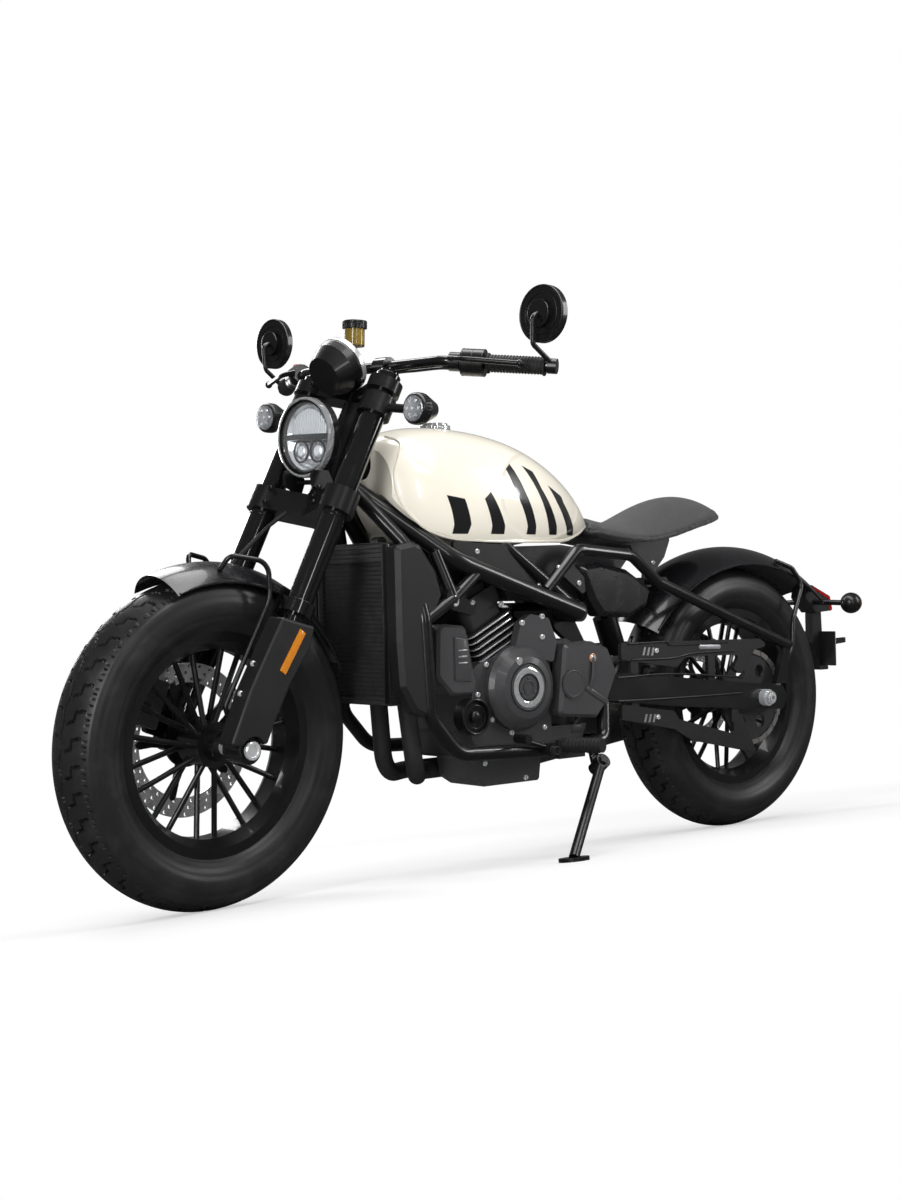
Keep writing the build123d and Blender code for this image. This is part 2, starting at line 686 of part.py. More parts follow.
def mirrors():
    """Round mirrors on bent stems from the bar's ends."""
    x, y, z = MIRROR
    collar = rod(grip_line(9), grip_line(-9), 15)
    end = grip_line(-4)
    stem = pipe([(end.X, end.Y, end.Z), (x + 27, y - 2, z - 60), (x + 31, y, z - 9), (x + 16, y, z)], 5, 12)
    housing = Pos(x, y, z) * Rot(0, 90, 0) * Cylinder(MIRROR_RADIUS, 14)
    housing += Pos(x + 10, y, z) * Rot(0, 90, 0) * Cylinder(26, 14)
    left = collar + stem + housing
    left -= rod(grip_line(30), grip_line(-1), BAR_RADIUS + FIT)
    left = left.solids().sort_by(SortBy.VOLUME)[-1]
    return [left, mirror(left, Plane.XZ)]


def gauge():
    """The round gauge pod, facing back and up to the rider, on a bracket from the upper clamp."""
    face = Plane(origin=GAUGE_FACE, z_dir=GAUGE_FACING)
    profile = make_face(
        Polyline(
            (0, -62), (40, -62), (55, -30), (GAUGE_RADIUS, -14), (GAUGE_RADIUS, 0), (0, 0), close=True
        )
    )
    pod = revolve(Plane.XZ * profile, Axis.Z)
    pod = face.location * pod
    bracket = rod(GAUGE_BRACKET, fork_point(UPPER_CLAMP[1] + FIT, 0, -20), 9)
    cut = fork_block(UPPER_CLAMP[1] - 60, UPPER_CLAMP[1] + FIT, (-120, 60), (-60, 60))
    return pod + (bracket - cut)


def headlight():
    """The round lamp: a bowl with a bezel, the glass as its front face."""
    x, y, z = HEADLIGHT
    profile = make_face(
        Polyline(
            (0, -62), (26, -57), (54, -42), (76, -24), (HEADLIGHT_RADIUS, -24),
            (HEADLIGHT_RADIUS, 4), (HEADLIGHT_RADIUS - 6, 4), (HEADLIGHT_RADIUS - 6, 0), (0, 6),
            close=True,
        )
    )
    lamp = revolve(Plane.XZ * profile, Axis.Z)
    return Pos(x, y, z) * Rot(0, 90, 0) * lamp


def headlight_bracket():
    """The lamp's arms from the lower clamp's front edge."""
    arms = []
    for side in (-1, 1):
        low, high = sorted((side * (LAMP_ARM_Y - 8), side * LAMP_ARM_Y))
        arms.append(plate(LAMP_ARM, low, high, 5))
    bar = across(LAMP_BAR, -LAMP_ARM_Y, LAMP_ARM_Y, 5)
    result = arms[0] + arms[1] + bar
    x, y, z = HEADLIGHT
    result -= Pos(x - 30, y, z) * Rot(0, 90, 0) * Cylinder(HEADLIGHT_RADIUS + FIT, 100)
    result -= fork_block(LOWER_CLAMP[0] - 40, LOWER_CLAMP[1] + FIT, (-80, 60), (-60, 60))
    return result


def front_signals():
    """Round front signals on stalks from collars on the fork tubes."""
    x, y, z = FRONT_SIGNAL
    middle = (SIGNAL_COLLAR[0] + SIGNAL_COLLAR[1]) / 2
    lamp = revolve(
        Plane.XZ
        * make_face(Polyline((0, -44), (16, -44), (31, -12), (31, 6), (26, 10), (0, 10), close=True)),
        Axis.Z,
    )
    signal = Pos(x, y, z) * Rot(0, 90, 0) * lamp
    collar = fork_bar(SIGNAL_COLLAR[0], SIGNAL_COLLAR[1], 34, FORK_HALF_SPACING)
    start = fork_point(middle, FORK_HALF_SPACING)
    stalk = rod(start, (x - 22, y - 20, z), 9)
    left = signal + collar + stalk
    left -= fork_bar(SIGNAL_COLLAR[0] - 9, SIGNAL_COLLAR[1] + 9, FORK_TUBE_RADIUS + FIT, FORK_HALF_SPACING)
    left = left.solids().sort_by(SortBy.VOLUME)[-1]
    return [left, mirror(left, Plane.XZ)]


def arched_guard(centre, half_width, edge_radius, crown_radius, thickness, start_deg, sweep_deg):
    """A mudguard round an axle: a crowned strip from start through sweep, counted from +X up."""
    edge_in, crown_in = edge_radius, crown_radius - thickness
    face = make_face(
        [
            ThreePointArc((0, -half_width, edge_in), (0, 0, crown_radius), (0, half_width, edge_in)),
            Line((0, half_width, edge_in), (0, half_width - thickness, edge_in)),
            ThreePointArc(
                (0, half_width - thickness, edge_in),
                (0, 0, crown_in),
                (0, thickness - half_width, edge_in),
            ),
            Line((0, thickness - half_width, edge_in), (0, -half_width, edge_in)),
        ]
    )
    start = Rot(0, 90 - start_deg, 0) * face
    return Pos(centre[0], 0, centre[1]) * revolve(start, Axis.Y, -sweep_deg)


def front_fender():
    """The short front mudguard, with the lugs that its bolts go through to the seal rings."""
    guard = arched_guard(
        FRONT_AXLE, FRONT_GUARD_HALF, FRONT_GUARD_EDGE, FRONT_GUARD_CROWN, GUARD_THICKNESS,
        FRONT_GUARD_START_DEG, FRONT_GUARD_SWEEP_DEG,
    )
    for side in (-1, 1):
        aside = sorted((side * 68, side * (FORK_HALF_SPACING - 34 - FIT)))
        guard += fork_block(SEAL_RING[0], 326, (-12, 22), aside)
    return guard


def stay_rod(side, grow=0.0):
    """One stay of the front mudguard; grow adds a clearance to its radius."""
    return pipe([(x, side * y, z) for x, y, z in FENDER_STAY], 5 + grow, [18, 30, 60, 14])


def fender_stays():
    """The bent rods from the mudguard's top down ahead of each leg to the axle lug."""
    return [stay_rod(side) for side in (-1, 1)]


def front_caliper():
    """The brake caliper on the right leg's lug, straddling the disc with a slot for it."""
    x, z = CALIPER
    disc_low = -FRONT_HUB_HALF - DISC_THICKNESS + 1
    outer = -CALIPER_FACE_Y + FIT
    body = Pos(x, disc_low + 2, z) * Rot(0, -20, 0) * Box(44, 56, 92)
    body += Pos(x - 12, outer + 7, z - 2) * Rot(0, -20, 0) * Box(56, 14, 88)
    slot_radius = FRONT_DISC_RADIUS + 5
    slot = across(FRONT_AXLE, disc_low - 5, disc_low + DISC_THICKNESS + 5, slot_radius)
    body -= slot
    body -= fork_bar(-60, 320, FORK_SLIDER_RADIUS + FIT, -FORK_HALF_SPACING)
    body -= fork_bar(-60, 60 + FIT, LUG_RADIUS + FIT, -FORK_HALF_SPACING)
    return body.solids().sort_by(SortBy.VOLUME)[-1]


def brake_hose():
    """The front brake's hose from the lower clamp to the caliper."""
    return pipe([(x, y, z) for x, y, z in HOSE_ROUTE], 4, [25, 60, 40])


# Frame and what it carries


def frame_tubes(grow=0.0):
    """All frame tubes as separate bars; grow adds a clearance to every radius."""
    bars = [pipe(BACKBONE, BACKBONE_RADIUS + grow, 60)]
    bars.append(across(PLUG, -FRAME_HALF_WIDTH, FRAME_HALF_WIDTH, 22 + grow))
    bars.append(across(PIVOT, -PIVOT_PLATE_Y[1], PIVOT_PLATE_Y[1], 22 + grow))
    bars.append(across(CRADLE_END, 8 - CRADLE_HALF_WIDTH, CRADLE_HALF_WIDTH - 8, 12 + grow))
    bars.append(across(SHOCK_TOP, -84, 84, SHOCK_PIN_RADIUS + grow))
    bars.append(across(SEAT_TUBE, -122, 122, 9 + grow))
    for points, radius, bends in SIDE_TUBES:
        for side in (-1, 1):
            route = [(x, side * y, z) for x, y, z in points]
            bars.append(pipe(route, radius + grow, bends))
    return bars


def main_frame():
    """Steering head, spars, downtubes, cradle, backbone and swingarm pivot, welded together."""
    head = fork_bar(HEAD_TUBE[0], HEAD_TUBE[1], HEAD_TUBE_RADIUS, 0, -FORK_OFFSET)
    frame = head + frame_tubes()
    for side in (-1, 1):
        low, high = sorted((side * PIVOT_PLATE_Y[0], side * PIVOT_PLATE_Y[1]))
        frame += plate(PIVOT_PLATE, low, high, 12)
        head_side = CYLINDER_HALF + FIT
        low, high = sorted((side * head_side, side * (head_side + 8)))
        frame += plate(HEAD_MOUNT, low, high, 6)
        frame += across(MOUNT_BOSS, side * head_side, side * 156, 24)
        frame += across(PIVOT, side * PIVOT_PLATE_Y[1], side * (ARM_INNER_Y - FIT), 15)
        frame += across(PIVOT, side * PIVOT_PLATE_Y[1], side * (ARM_OUTER_Y + 2), PIVOT_PIN_RADIUS)
    frame += stand_lug()
    frame -= fork_bar(HEAD_TUBE[0] - 40, HEAD_TUBE[1] + 40, STEM_RADIUS + SHAFT_FIT, 0, -FORK_OFFSET)
    return frame


def swingarm():
    """Two box arms from the pivot to the rear axle, with the cross member between them."""
    arms = []
    for side in (-1, 1):
        low, high = sorted((side * ARM_INNER_Y, side * ARM_OUTER_Y))
        arms.append(plate(ARM_OUTLINE, low, high, 10))
    bridge = block((-372, -ARM_INNER_Y, 338), (-308, ARM_INNER_Y, 392))
    arm = arms[0] + arms[1] + bridge
    for side in (-1, 1):
        near, far = sorted((side * (SHOCK_EYE_HALF + FIT), side * (SHOCK_EYE_HALF + 10)))
        x, z = SHOCK_FOOT
        clevis = [(x - 14, z + 12), (x + 12, z + 12), (-340, 390), (-366, 345), (x - 14, z - 10)]
        arm += plate(clevis, near, far)
    arm += across(SHOCK_FOOT, -SHOCK_EYE_HALF - 10, SHOCK_EYE_HALF + 10, SHOCK_PIN_RADIUS)
    arm -= across(REAR_AXLE, -ARM_OUTER_Y - 1, ARM_OUTER_Y + 1, AXLE_RADIUS + FIT)
    arm -= across(PIVOT, -ARM_OUTER_Y - 1, ARM_OUTER_Y + 1, PIVOT_PIN_RADIUS + FIT)
    return arm


def rear_axle():
    """The rear axle with its spacers, adjuster plates and nuts."""
    axle = across(REAR_AXLE, -ARM_OUTER_Y - 30, ARM_OUTER_Y + 30, AXLE_RADIUS)
    for side in (-1, 1):
        inner = side * (REAR_HUB_HALF + FIT)
        axle += across(REAR_AXLE, inner, side * (ARM_INNER_Y - FIT), SPACER_RADIUS)
        axle += across(REAR_AXLE, side * (ARM_OUTER_Y + FIT), side * (ARM_OUTER_Y + 16), 20)
        axle += across(REAR_AXLE, side * (ARM_OUTER_Y + 16), side * (ARM_OUTER_Y + 26), 15)
    return axle - across(REAR_AXLE, -ARM_OUTER_Y - 40, ARM_OUTER_Y + 40, AXLE_BORE_RADIUS)


def shock_absorber():
    """The single shock under the saddle: damper, spring and the eyes round its two pins."""
    top, foot = Vector(SHOCK_TOP[0], 0, SHOCK_TOP[1]), Vector(SHOCK_FOOT[0], 0, SHOCK_FOOT[1])
    span = (top - foot).normalized()
    shock = rod(foot, top, 9) + rod((foot + span * 30), (top - span * 30), SHOCK_SPRING_RADIUS)
    for centre in (SHOCK_TOP, SHOCK_FOOT):
        shock += across(centre, -SHOCK_EYE_HALF, SHOCK_EYE_HALF, 16)
        shock -= across(centre, -40, 40, SHOCK_PIN_RADIUS + FIT)
    return shock


def loop_around(radius_front, radius_rear):
    """The face outline of a belt round the two sprockets' centres, at the given radii."""
    front = Pos(*FRONT_SPROCKET) * Circle(radius_front)
    rear = Pos(*REAR_AXLE) * Circle(radius_rear)
    return make_hull(Sketch(children=[front, rear]).edges())


def drive_chain():
    """The chain as one closed loop round both sprockets."""
    outer = loop_around(FRONT_PITCH_RADIUS + CHAIN_HALF_HEIGHT, REAR_PITCH_RADIUS + CHAIN_HALF_HEIGHT)
    inner = loop_around(FRONT_PITCH_RADIUS - CHAIN_HALF_HEIGHT, REAR_PITCH_RADIUS - CHAIN_HALF_HEIGHT)
    loop = outer - inner
    return extrude(Plane.XZ.offset(-CHAIN_Y - CHAIN_WIDTH / 2) * loop, CHAIN_WIDTH)


def engine_block():
    """Crankcase and gearbox in one casting, with the sump below and the front sprocket's shaft."""
    case = plate(CASE_OUTLINE, -CASE_HALF, CASE_HALF, 20)
    case += plate(SUMP_OUTLINE, -30, 78, 8)
    case -= block((-260, CHAIN_Y - 16, 300), (-60, 200, 470))
    case += across(FRONT_SPROCKET, CHAIN_Y - 17, CHAIN_Y + 10, 20)
    case += across(FRONT_SPROCKET, CHAIN_Y - 4, CHAIN_Y + 4, FRONT_PITCH_RADIUS - CHAIN_HALF_HEIGHT - CHAIN_FIT)
    return case


def cylinder_plane(height):
    """A plane square to the cylinders' axis at a height above their foot, x ahead and y left."""
    lean = math.radians(CYLINDER_LEAN_DEG)
    up = (math.sin(lean), math.cos(lean))
    origin = (CYLINDER_FOOT[0] + up[0] * height, 0, CYLINDER_FOOT[1] + up[1] * height)
    return Plane(origin=origin, x_dir=(up[1], 0, -up[0]), z_dir=(up[0], 0, up[1]))


def engine_cylinders():
    """Finned barrel, head and cam cover of the two cylinders."""
    width = CYLINDER_HALF * 2
    barrel = extrude(cylinder_plane(-30) * RectangleRounded(112, width - 14, 20), CYLINDER_HEAD_TOP + 30)
    for number in range(FIN_COUNT):
        height = FIN_START + number * FIN_PITCH
        barrel += extrude(cylinder_plane(height) * RectangleRounded(FIN_DEPTH, width + 12, 16), FIN_THICKNESS)
    cover = extrude(cylinder_plane(CYLINDER_HEAD_TOP) * RectangleRounded(120, width, 18), 40)
    cover += extrude(cylinder_plane(CYLINDER_HEAD_TOP + 40) * RectangleRounded(84, width - 24, 14), 14)
    return barrel + cover - case_solid()


def case_solid():
    """The crankcase outline grown by the clearance, to cut what stands on it."""
    return plate(CASE_OUTLINE, -CASE_HALF - FIT, CASE_HALF + FIT, 20)


def generator_cover():
    """The left engine cover: a dome with a pale ring, and its ear up to the barrel."""
    x, z = CRANK
    low = CASE_HALF + FIT
    dome_profile = make_face(
        Polyline(
            (0, low), (GENERATOR_RADIUS, low), (GENERATOR_RADIUS, low + 14),
            (GENERATOR_RADIUS - 8, low + 24), (GENERATOR_RADIUS - 26, low + 36), (52, low + 38),
            (50, low + 34), (0, low + 34), close=True,
        )
    )
    dome = Pos(x, 0, z) * revolve(dome_profile, Axis.Y)
    ring = across(CRANK, low + 34, low + 39, 46) - across(CRANK, low + 34, low + 40, 29)
    hub = across(CRANK, low + 34, low + 37, 25)
    ear = plate(COVER_EAR, low, low + 20, 8)
    return dome + ring + hub + ear


def sprocket_cover():
    """The cover over the front sprocket, with its round boss."""
    low = CASE_HALF + FIT
    high = low + SPROCKET_COVER_DEPTH
    cover = plate(SPROCKET_COVER, low, high, 14)
    cover = chamfer(cover.faces().sort_by(Axis.Y)[-1].edges(), 7)
    cover += across((-92, 392), high - 1, high + 4, 32)
    cover -= block((-260, min(low, ARM_OUTER_Y) - 1, 300), (CASE_OUTLINE[0][0], ARM_OUTER_Y + 4, 500))
    x, z = CRANK
    return cover - across(CRANK, low - 1, high + 40, GENERATOR_RADIUS + FIT)


def clutch_cover():
    """The right engine cover: a wide low dome and a smaller one behind it."""
    low = CASE_HALF + FIT
    domes = []
    for centre, radius, depth in (((-50, 372), 94, 30), ((78, 385), 74, 24)):
        dome = across(centre, -low - depth, -low, radius)
        domes.append(chamfer(dome.edges().group_by(Axis.Y)[0], 10))
    return domes[0] + domes[1] + across((-50, 372), -low - 36, -low - 29, 40)


def regulator_cover():
    """The ribbed box in front of the left engine cover."""
    box = plate(REGULATOR_BOX, *REGULATOR_Y, 16)
    box = chamfer(box.faces().sort_by(Axis.Y)[-1].edges(), 6)
    return box - case_solid() - across(CRANK, CASE_HALF - 12, CASE_HALF + 88, GENERATOR_RADIUS + FIT)


def horn():
    """The round horn low in front of the engine."""
    back = CASE_HALF + 4
    body = across(HORN, back, back + 24, 38) + across((HORN[0] - 22, HORN[1]), CASE_HALF + FIT, back + 1, 9)
    body -= across(HORN, back + 20, back + 25, 34) - across(HORN, back + 19, back + 26, 12)
    return body + across(HORN, back + 24, back + 28, 8)


def radiator():
    """Core between two tanks, open at the front."""
    low, high = RADIATOR_X
    core = block((low + 6, -104, 384), (high - 8, 104, 676))
    tanks = [block((low, -122, 372), (high, -104, 688)), block((low, 104, 372), (high, 122, 688))]
    bars = [block((low, -104, 660), (high, 104, 700)), block((low, -104, 372), (high, 104, 386))]
    cap = across((low + 16, 700), 60, 84, 12)
    return core + tanks + bars + cap


def radiator_shrouds():
    """The side panels beside the radiator."""
    panels = []
    for side in (-1, 1):
        panel = plate(SHROUD, 124, 158, 12)
        panel = chamfer(panel.faces().sort_by(Axis.Y)[-1].edges(), 9)
        panel -= plate(SHROUD_HOLLOW, 110, 150, 8)
        panels.append(panel if side > 0 else mirror(panel, Plane.XZ))
    tubes = frame_tubes(FIT)
    return [panel.cut(*tubes) for panel in panels]


def tank_section(x, top, crown, shoulder, foot, bottom):
    """The tank's outline across at x: flat bottom, one arc up each side, and the crown arc."""
    centre = top - crown
    shoulder_z = centre + math.sqrt(crown**2 - shoulder**2)
    left, right = (x, shoulder, shoulder_z), (x, -shoulder, shoulder_z)
    down_left = (0, shoulder_z - centre, -shoulder)
    down_right = (0, centre - shoulder_z, -shoulder)
    side_left = TangentArc(left, (x, foot, bottom), tangent=down_left)
    side_right = TangentArc(right, (x, -foot, bottom), tangent=down_right)
    crown_arc = ThreePointArc(left, (x, 0, top), right)
    floor = Line((x, foot, bottom), (x, -foot, bottom))
    return make_face([side_left, crown_arc, side_right, floor])


def tank_body(grow=0.0):
    """The tank's outer form; grow adds a clearance all round."""
    rows = [list(row) for row in TANK_SECTIONS]
    rows[0][0] += grow
    rows[-1][0] -= grow
    return loft(
        [
            tank_section(x, top + grow, crown + grow, shoulder + grow * 0.7, foot + grow, bottom - grow)
            for x, top, crown, shoulder, foot, bottom in rows
        ]
    )


def fuel_tank():
    """The teardrop tank, saddled over the backbone."""
    tank = tank_body()
    tunnel = pipe(BACKBONE, BACKBONE_RADIUS + 6, 60)
    under = block((-300, -34, 600), (300, 34, 742))
    tank -= tunnel + under
    tank -= rod(CAP_FOOT, (CAP_FOOT[0], 0, CAP_FOOT[2] + 60), 34 + FIT)
    head = fork_bar(HEAD_TUBE[0], HEAD_TUBE[1] + 30, HEAD_TUBE_RADIUS + 5, 0, -FORK_OFFSET)
    tank -= head
    tank = tank.cut(*frame_tubes(5))
    return tank.solids().sort_by(SortBy.VOLUME)[-1]


def fuel_cap():
    """The round filler cap with its knurled skirt."""
    x, y, z = CAP_FOOT
    return rod((x, y, z + FIT), (x, y, z + 22), 34) + rod((x, y, z + 22), (x, y, z + 27), 28)


def seat_section(x, top, edge, half, thick):
    """The seat's outline across at x: a crowned top and a flatter underside."""
    left, right = (x, half, edge), (x, -half, edge)
    left_low, right_low = (x, half - 6, edge - 12), (x, 6 - half, edge - 12)
    return make_face(
        [
            ThreePointArc(left, (x, 0, top), right),
            Line(right, right_low),
            ThreePointArc(right_low, (x, 0, top - thick), left_low),
            Line(left_low, left),
        ]
    )


def seat():
    """The solo saddle."""
    saddle = loft([seat_section(*row) for row in SEAT_SECTIONS])
    return (saddle - tank_body(8)).solids().sort_by(SortBy.VOLUME)[-1]


def seat_bracket():
    """The sheet under the saddle and the leg that carries it on the rear frame."""
    base = plate(SEAT_BASE, -64, 64, 1) - Pos(0, 0, -FIT) * seat()
    legs = [plate(SEAT_LEG, 56, 64, 4), plate(SEAT_LEG, -64, -56, 4)]
    bracket = base + [leg - Pos(0, 0, -FIT) * seat() for leg in legs]
    bracket -= across(SEAT_TUBE, -70, 70, 9 + FIT)
    return bracket.solids().sort_by(SortBy.VOLUME)[-1]


def side_covers():
    """The gloss covers under the saddle, left and right."""
    cover = plate(SIDE_COVER, AIRBOX_HALF + FIT, 136, 16)
    cover = chamfer(cover.faces().sort_by(Axis.Y)[-1].edges(), 12)
    cover = cover.cut(*frame_tubes(FIT)).solids().sort_by(SortBy.VOLUME)[-1]
    return [cover, mirror(cover, Plane.XZ)]


def frame_panels():
    """The flat panels in the frame's triangles and the small seat plates, left and right."""
    panels = []
    for outline, low, high in ((TRIANGLE_PANEL, *TRIANGLE_PANEL_Y), (SEAT_PLATE, 128, 136)):
        panel = plate(outline, low, high, 8)
        panel = panel.cut(*frame_tubes(FIT))
        panel = panel.solids().sort_by(SortBy.VOLUME)[-1]
        panels += [panel, mirror(panel, Plane.XZ)]
    return panels


def airbox():
    """The airbox and battery tray that fill the middle under tank and saddle."""
    box = plate(AIRBOX, -AIRBOX_HALF, AIRBOX_HALF, 16)
    return box.cut(*frame_tubes(FIT)).solids().sort_by(SortBy.VOLUME)[-1]


def exhaust_headers():
    """Two pipes from the heads down behind the radiator and under the engine to the collector."""
    pipes = None
    for side in (-1, 1):
        port, start = cylinder_plane(PORT_HEIGHT), FIN_DEPTH / 2 + FIT
        points = [port.from_local_coords((start + ahead, side * PORT_Y, 0)) for ahead in (0, 87)]
        points += [(x, y_left if side > 0 else y_right, z) for x, y_left, y_right, z in HEADER_ROUTE]
        tube = pipe(points, HEADER_RADIUS, [34, 60, 60, 60])
        pipes = tube if pipes is None else pipes + tube
    joint = block((-112, -136, 192), (-56, -42, 232))
    joint = fillet(joint.edges().filter_by(Axis.X), 14)
    start, end = Vector(*SILENCER[0]), Vector(*SILENCER[1])
    room = rod((start - (end - start).normalized() * FIT), end, SILENCER_RADIUS + FIT)
    return pipes + joint + pipe(COLLECTOR, COLLECTOR_RADIUS, 90) - room


def silencer():
    """The low silencer on the right side."""
    body = rod(SILENCER[0], SILENCER[1], SILENCER_RADIUS)
    body = chamfer(body.edges().filter_by(GeomType.CIRCLE), 12)
    tail = Vector(*SILENCER[1]) - Vector(*SILENCER[0])
    tip = Vector(*SILENCER[1]) + tail.normalized() * 30
    body += rod(SILENCER[1], tip, 30)
    body -= rod(SILENCER[1], (tip + tail.normalized() * 2), 26)
    return body


def footpegs():
    """Rider's pegs with their brackets on the cradle."""
    bracket = block((-96, CRADLE_HALF_WIDTH + 15, 236), (-20, CRADLE_HALF_WIDTH + 27, 276))
    peg = rod((-40, CRADLE_HALF_WIDTH + 20, 264), (-66, 262, 266), 15)
    bracket -= frame_tubes(FIT)[1]
    left = bracket + peg
    return [left, mirror(left, Plane.XZ)]


def foot_controls():
    """Gear pedal and linkage on the left, brake pedal on the right."""
    pedal = rod((10, 173, 262), (92, 173, 288), 6) + across((92, 288), 167, 206, 10)
    pedal += across((10, 258), CRADLE_HALF_WIDTH + CRADLE_RADIUS + FIT, 182, 14)
    brake = mirror(pedal, Plane.XZ)
    return [pedal, brake]


def chain_guards():
    """The long guards above and below the swingarm's left arm, on tabs that reach it."""
    guards = []
    for outline, tabs, lift in ((UPPER_GUARD, UPPER_GUARD_TABS, FIT), (LOWER_GUARD, LOWER_GUARD_TABS, -FIT)):
        guard = plate(outline, ARM_OUTER_Y - 14, ARM_OUTER_Y - 4, 6)
        for x, low, high in tabs:
            guard += block((x - 12, ARM_OUTER_Y - 14, low), (x + 12, ARM_OUTER_Y - 4, high))
        guard -= Pos(0, 0, lift) * plate(ARM_OUTLINE, ARM_INNER_Y, ARM_OUTER_Y, 10)
        guards.append(guard.solids().sort_by(SortBy.VOLUME)[-1])
    return guards


def fender_rails():
    """The rails over the side covers back to the swingarm's ends and up to the mudguard."""
    rails = []
    for side in (-1, 1):
        rail = pipe([(x, side * y, z) for x, y, z in RAIL], BRACE_RADIUS, [])
        loop = pipe([(x, side * y, z) for x, y, z in LOOP], 6, [20, 28, 60, 28])
        low, high = sorted((side * 112, side * 126))
        foot = plate(RAIL_FOOT, low, high, 4)
        rails.append(rail + loop + foot)
    return rails


def rear_fender():
    """The rear mudguard over the tyre."""
    return arched_guard(
        REAR_GUARD_CENTRE, REAR_GUARD_HALF, REAR_GUARD_EDGE, REAR_GUARD_CROWN, GUARD_THICKNESS,
        REAR_GUARD_START_DEG, REAR_GUARD_SWEEP_DEG,
    )


def tail_unit():
    """The tail lamp and the plate hanger with its slotted lug."""
    lamp = plate(TAIL_LAMP, -24, 24, 6)
    lamp -= arched_guard(
        REAR_GUARD_CENTRE, REAR_GUARD_HALF + FIT, REAR_GUARD_EDGE + FIT, REAR_GUARD_CROWN + FIT,
        GUARD_THICKNESS + 2 * FIT, REAR_GUARD_START_DEG, REAR_GUARD_SWEEP_DEG + 0.1,
    )
    hanger = plate(TAIL_HANGER, -12, 12, 4)
    sheet = block(*PLATE_SHEET)
    lug = plate(TAIL_LUG, -4, 4, 3)
    return lamp + hanger + sheet + lug


def rear_signals():
    """Ball-shaped rear signals on stalks from the tail unit."""
    x, y, z = REAR_SIGNAL
    ball = Pos(x, y, z) * Sphere(27)
    stalk = rod((x + 8, y, z), (x + 12, 24 + 0.7, z + 4), 7)
    left = ball + stalk
    return [left, mirror(left, Plane.XZ)]


def rear_caliper():
    """The rear brake caliper on the right swingarm end."""
    disc_low = -REAR_HUB_HALF - DISC_THICKNESS + 1
    body = Pos(REAR_AXLE[0] + 106, disc_low, REAR_AXLE[1] + 58) * Rot(0, 30, 0) * Box(70, 44, 44)
    x, z = REAR_AXLE[0] + 106, REAR_AXLE[1] + 58
    seat_y = -ARM_INNER_Y + FIT
    base = [(x - 30, z + 24), (x + 26, z + 24), (x + 30, z - 40), (x - 24, z - 40)]
    body += plate(base, seat_y, seat_y + 12, 6)
    slot = across(REAR_AXLE, disc_low - 5, disc_low + DISC_THICKNESS + 5, REAR_DISC_RADIUS + 5)
    return (body - slot).solids().sort_by(SortBy.VOLUME)[-1]


# Side stand and the parked pose


def steer_turn(angle=STEER_REST_DEG):
    """The move that turns the steering, positive to the left."""
    return STEER_PLANE.location * Rot(0, 0, angle) * STEER_PLANE.location.inverse()


def wheel_low(place, centre, tyre_radius):
    """The height of a placed wheel's lowest point."""
    wheel = Plane(place * Pos(centre[0], 0, centre[1]))
    flat = math.sqrt(1 - wheel.y_dir.Z**2)
    return wheel.origin.Z - CROWN_CENTRE_RADIUS * flat - (tyre_radius - CROWN_CENTRE_RADIUS)


def parked():
    """The move from the upright machine to its parked pose, with both tyres on the floor."""
    place = Rot(-LEAN_DEG, 0, 0)
    for _ in range(4):
        front = wheel_low(place * steer_turn(), FRONT_AXLE, FRONT_TYRE_RADIUS)
        rear = wheel_low(place, REAR_AXLE, REAR_TYRE_RADIUS)
        place = Rot(0, math.degrees(math.atan2(front - rear, WHEELBASE)), 0) * place
    return Pos(0, 0, -wheel_low(place, REAR_AXLE, REAR_TYRE_RADIUS)) * place


def stand_points():
    """The stand's pivot, the middle of its foot on the floor and its pivot's axis, upright frame."""
    place = parked()
    pivot = (place * Pos(*STAND_PIVOT)).position
    foot = Pos(pivot.X + STAND_FOOT_AHEAD, pivot.Y + STAND_FOOT_OUT, 0)
    foot_here = (place.inverse() * foot).position
    down = (foot_here - Vector(*STAND_PIVOT)).normalized()
    axis = down.cross(Vector(*STAND_FOLDED)).normalized()
    return Vector(*STAND_PIVOT), foot_here, axis


def stand_fold_deg():
    """How far the stand turns from the floor to its folded place."""
    pivot, foot, _ = stand_points()
    return (foot - pivot).get_angle(Vector(*STAND_FOLDED))


def stand_lug():
    """The frame's lug and pin for the stand."""
    pivot, _, axis = stand_points()
    start = Vector(STAND_PIVOT[0], CRADLE_HALF_WIDTH - 8, 256)
    inner = pivot - axis * (STAND_KNUCKLE / 2 + FIT)
    lug = rod(start, (inner - axis * 11), 11)
    lug += rod((inner - axis * 22), inner, 15)
    lug -= rod(inner, pivot + axis * 40, 26)
    outer = pivot + axis * (STAND_KNUCKLE / 2 + FIT)
    pin = rod((inner - axis * 5), (outer + axis * 5), STAND_PIN_RADIUS)
    head = rod(outer, (outer + axis * 5), STAND_PIN_RADIUS + 4)
    return lug + pin + head


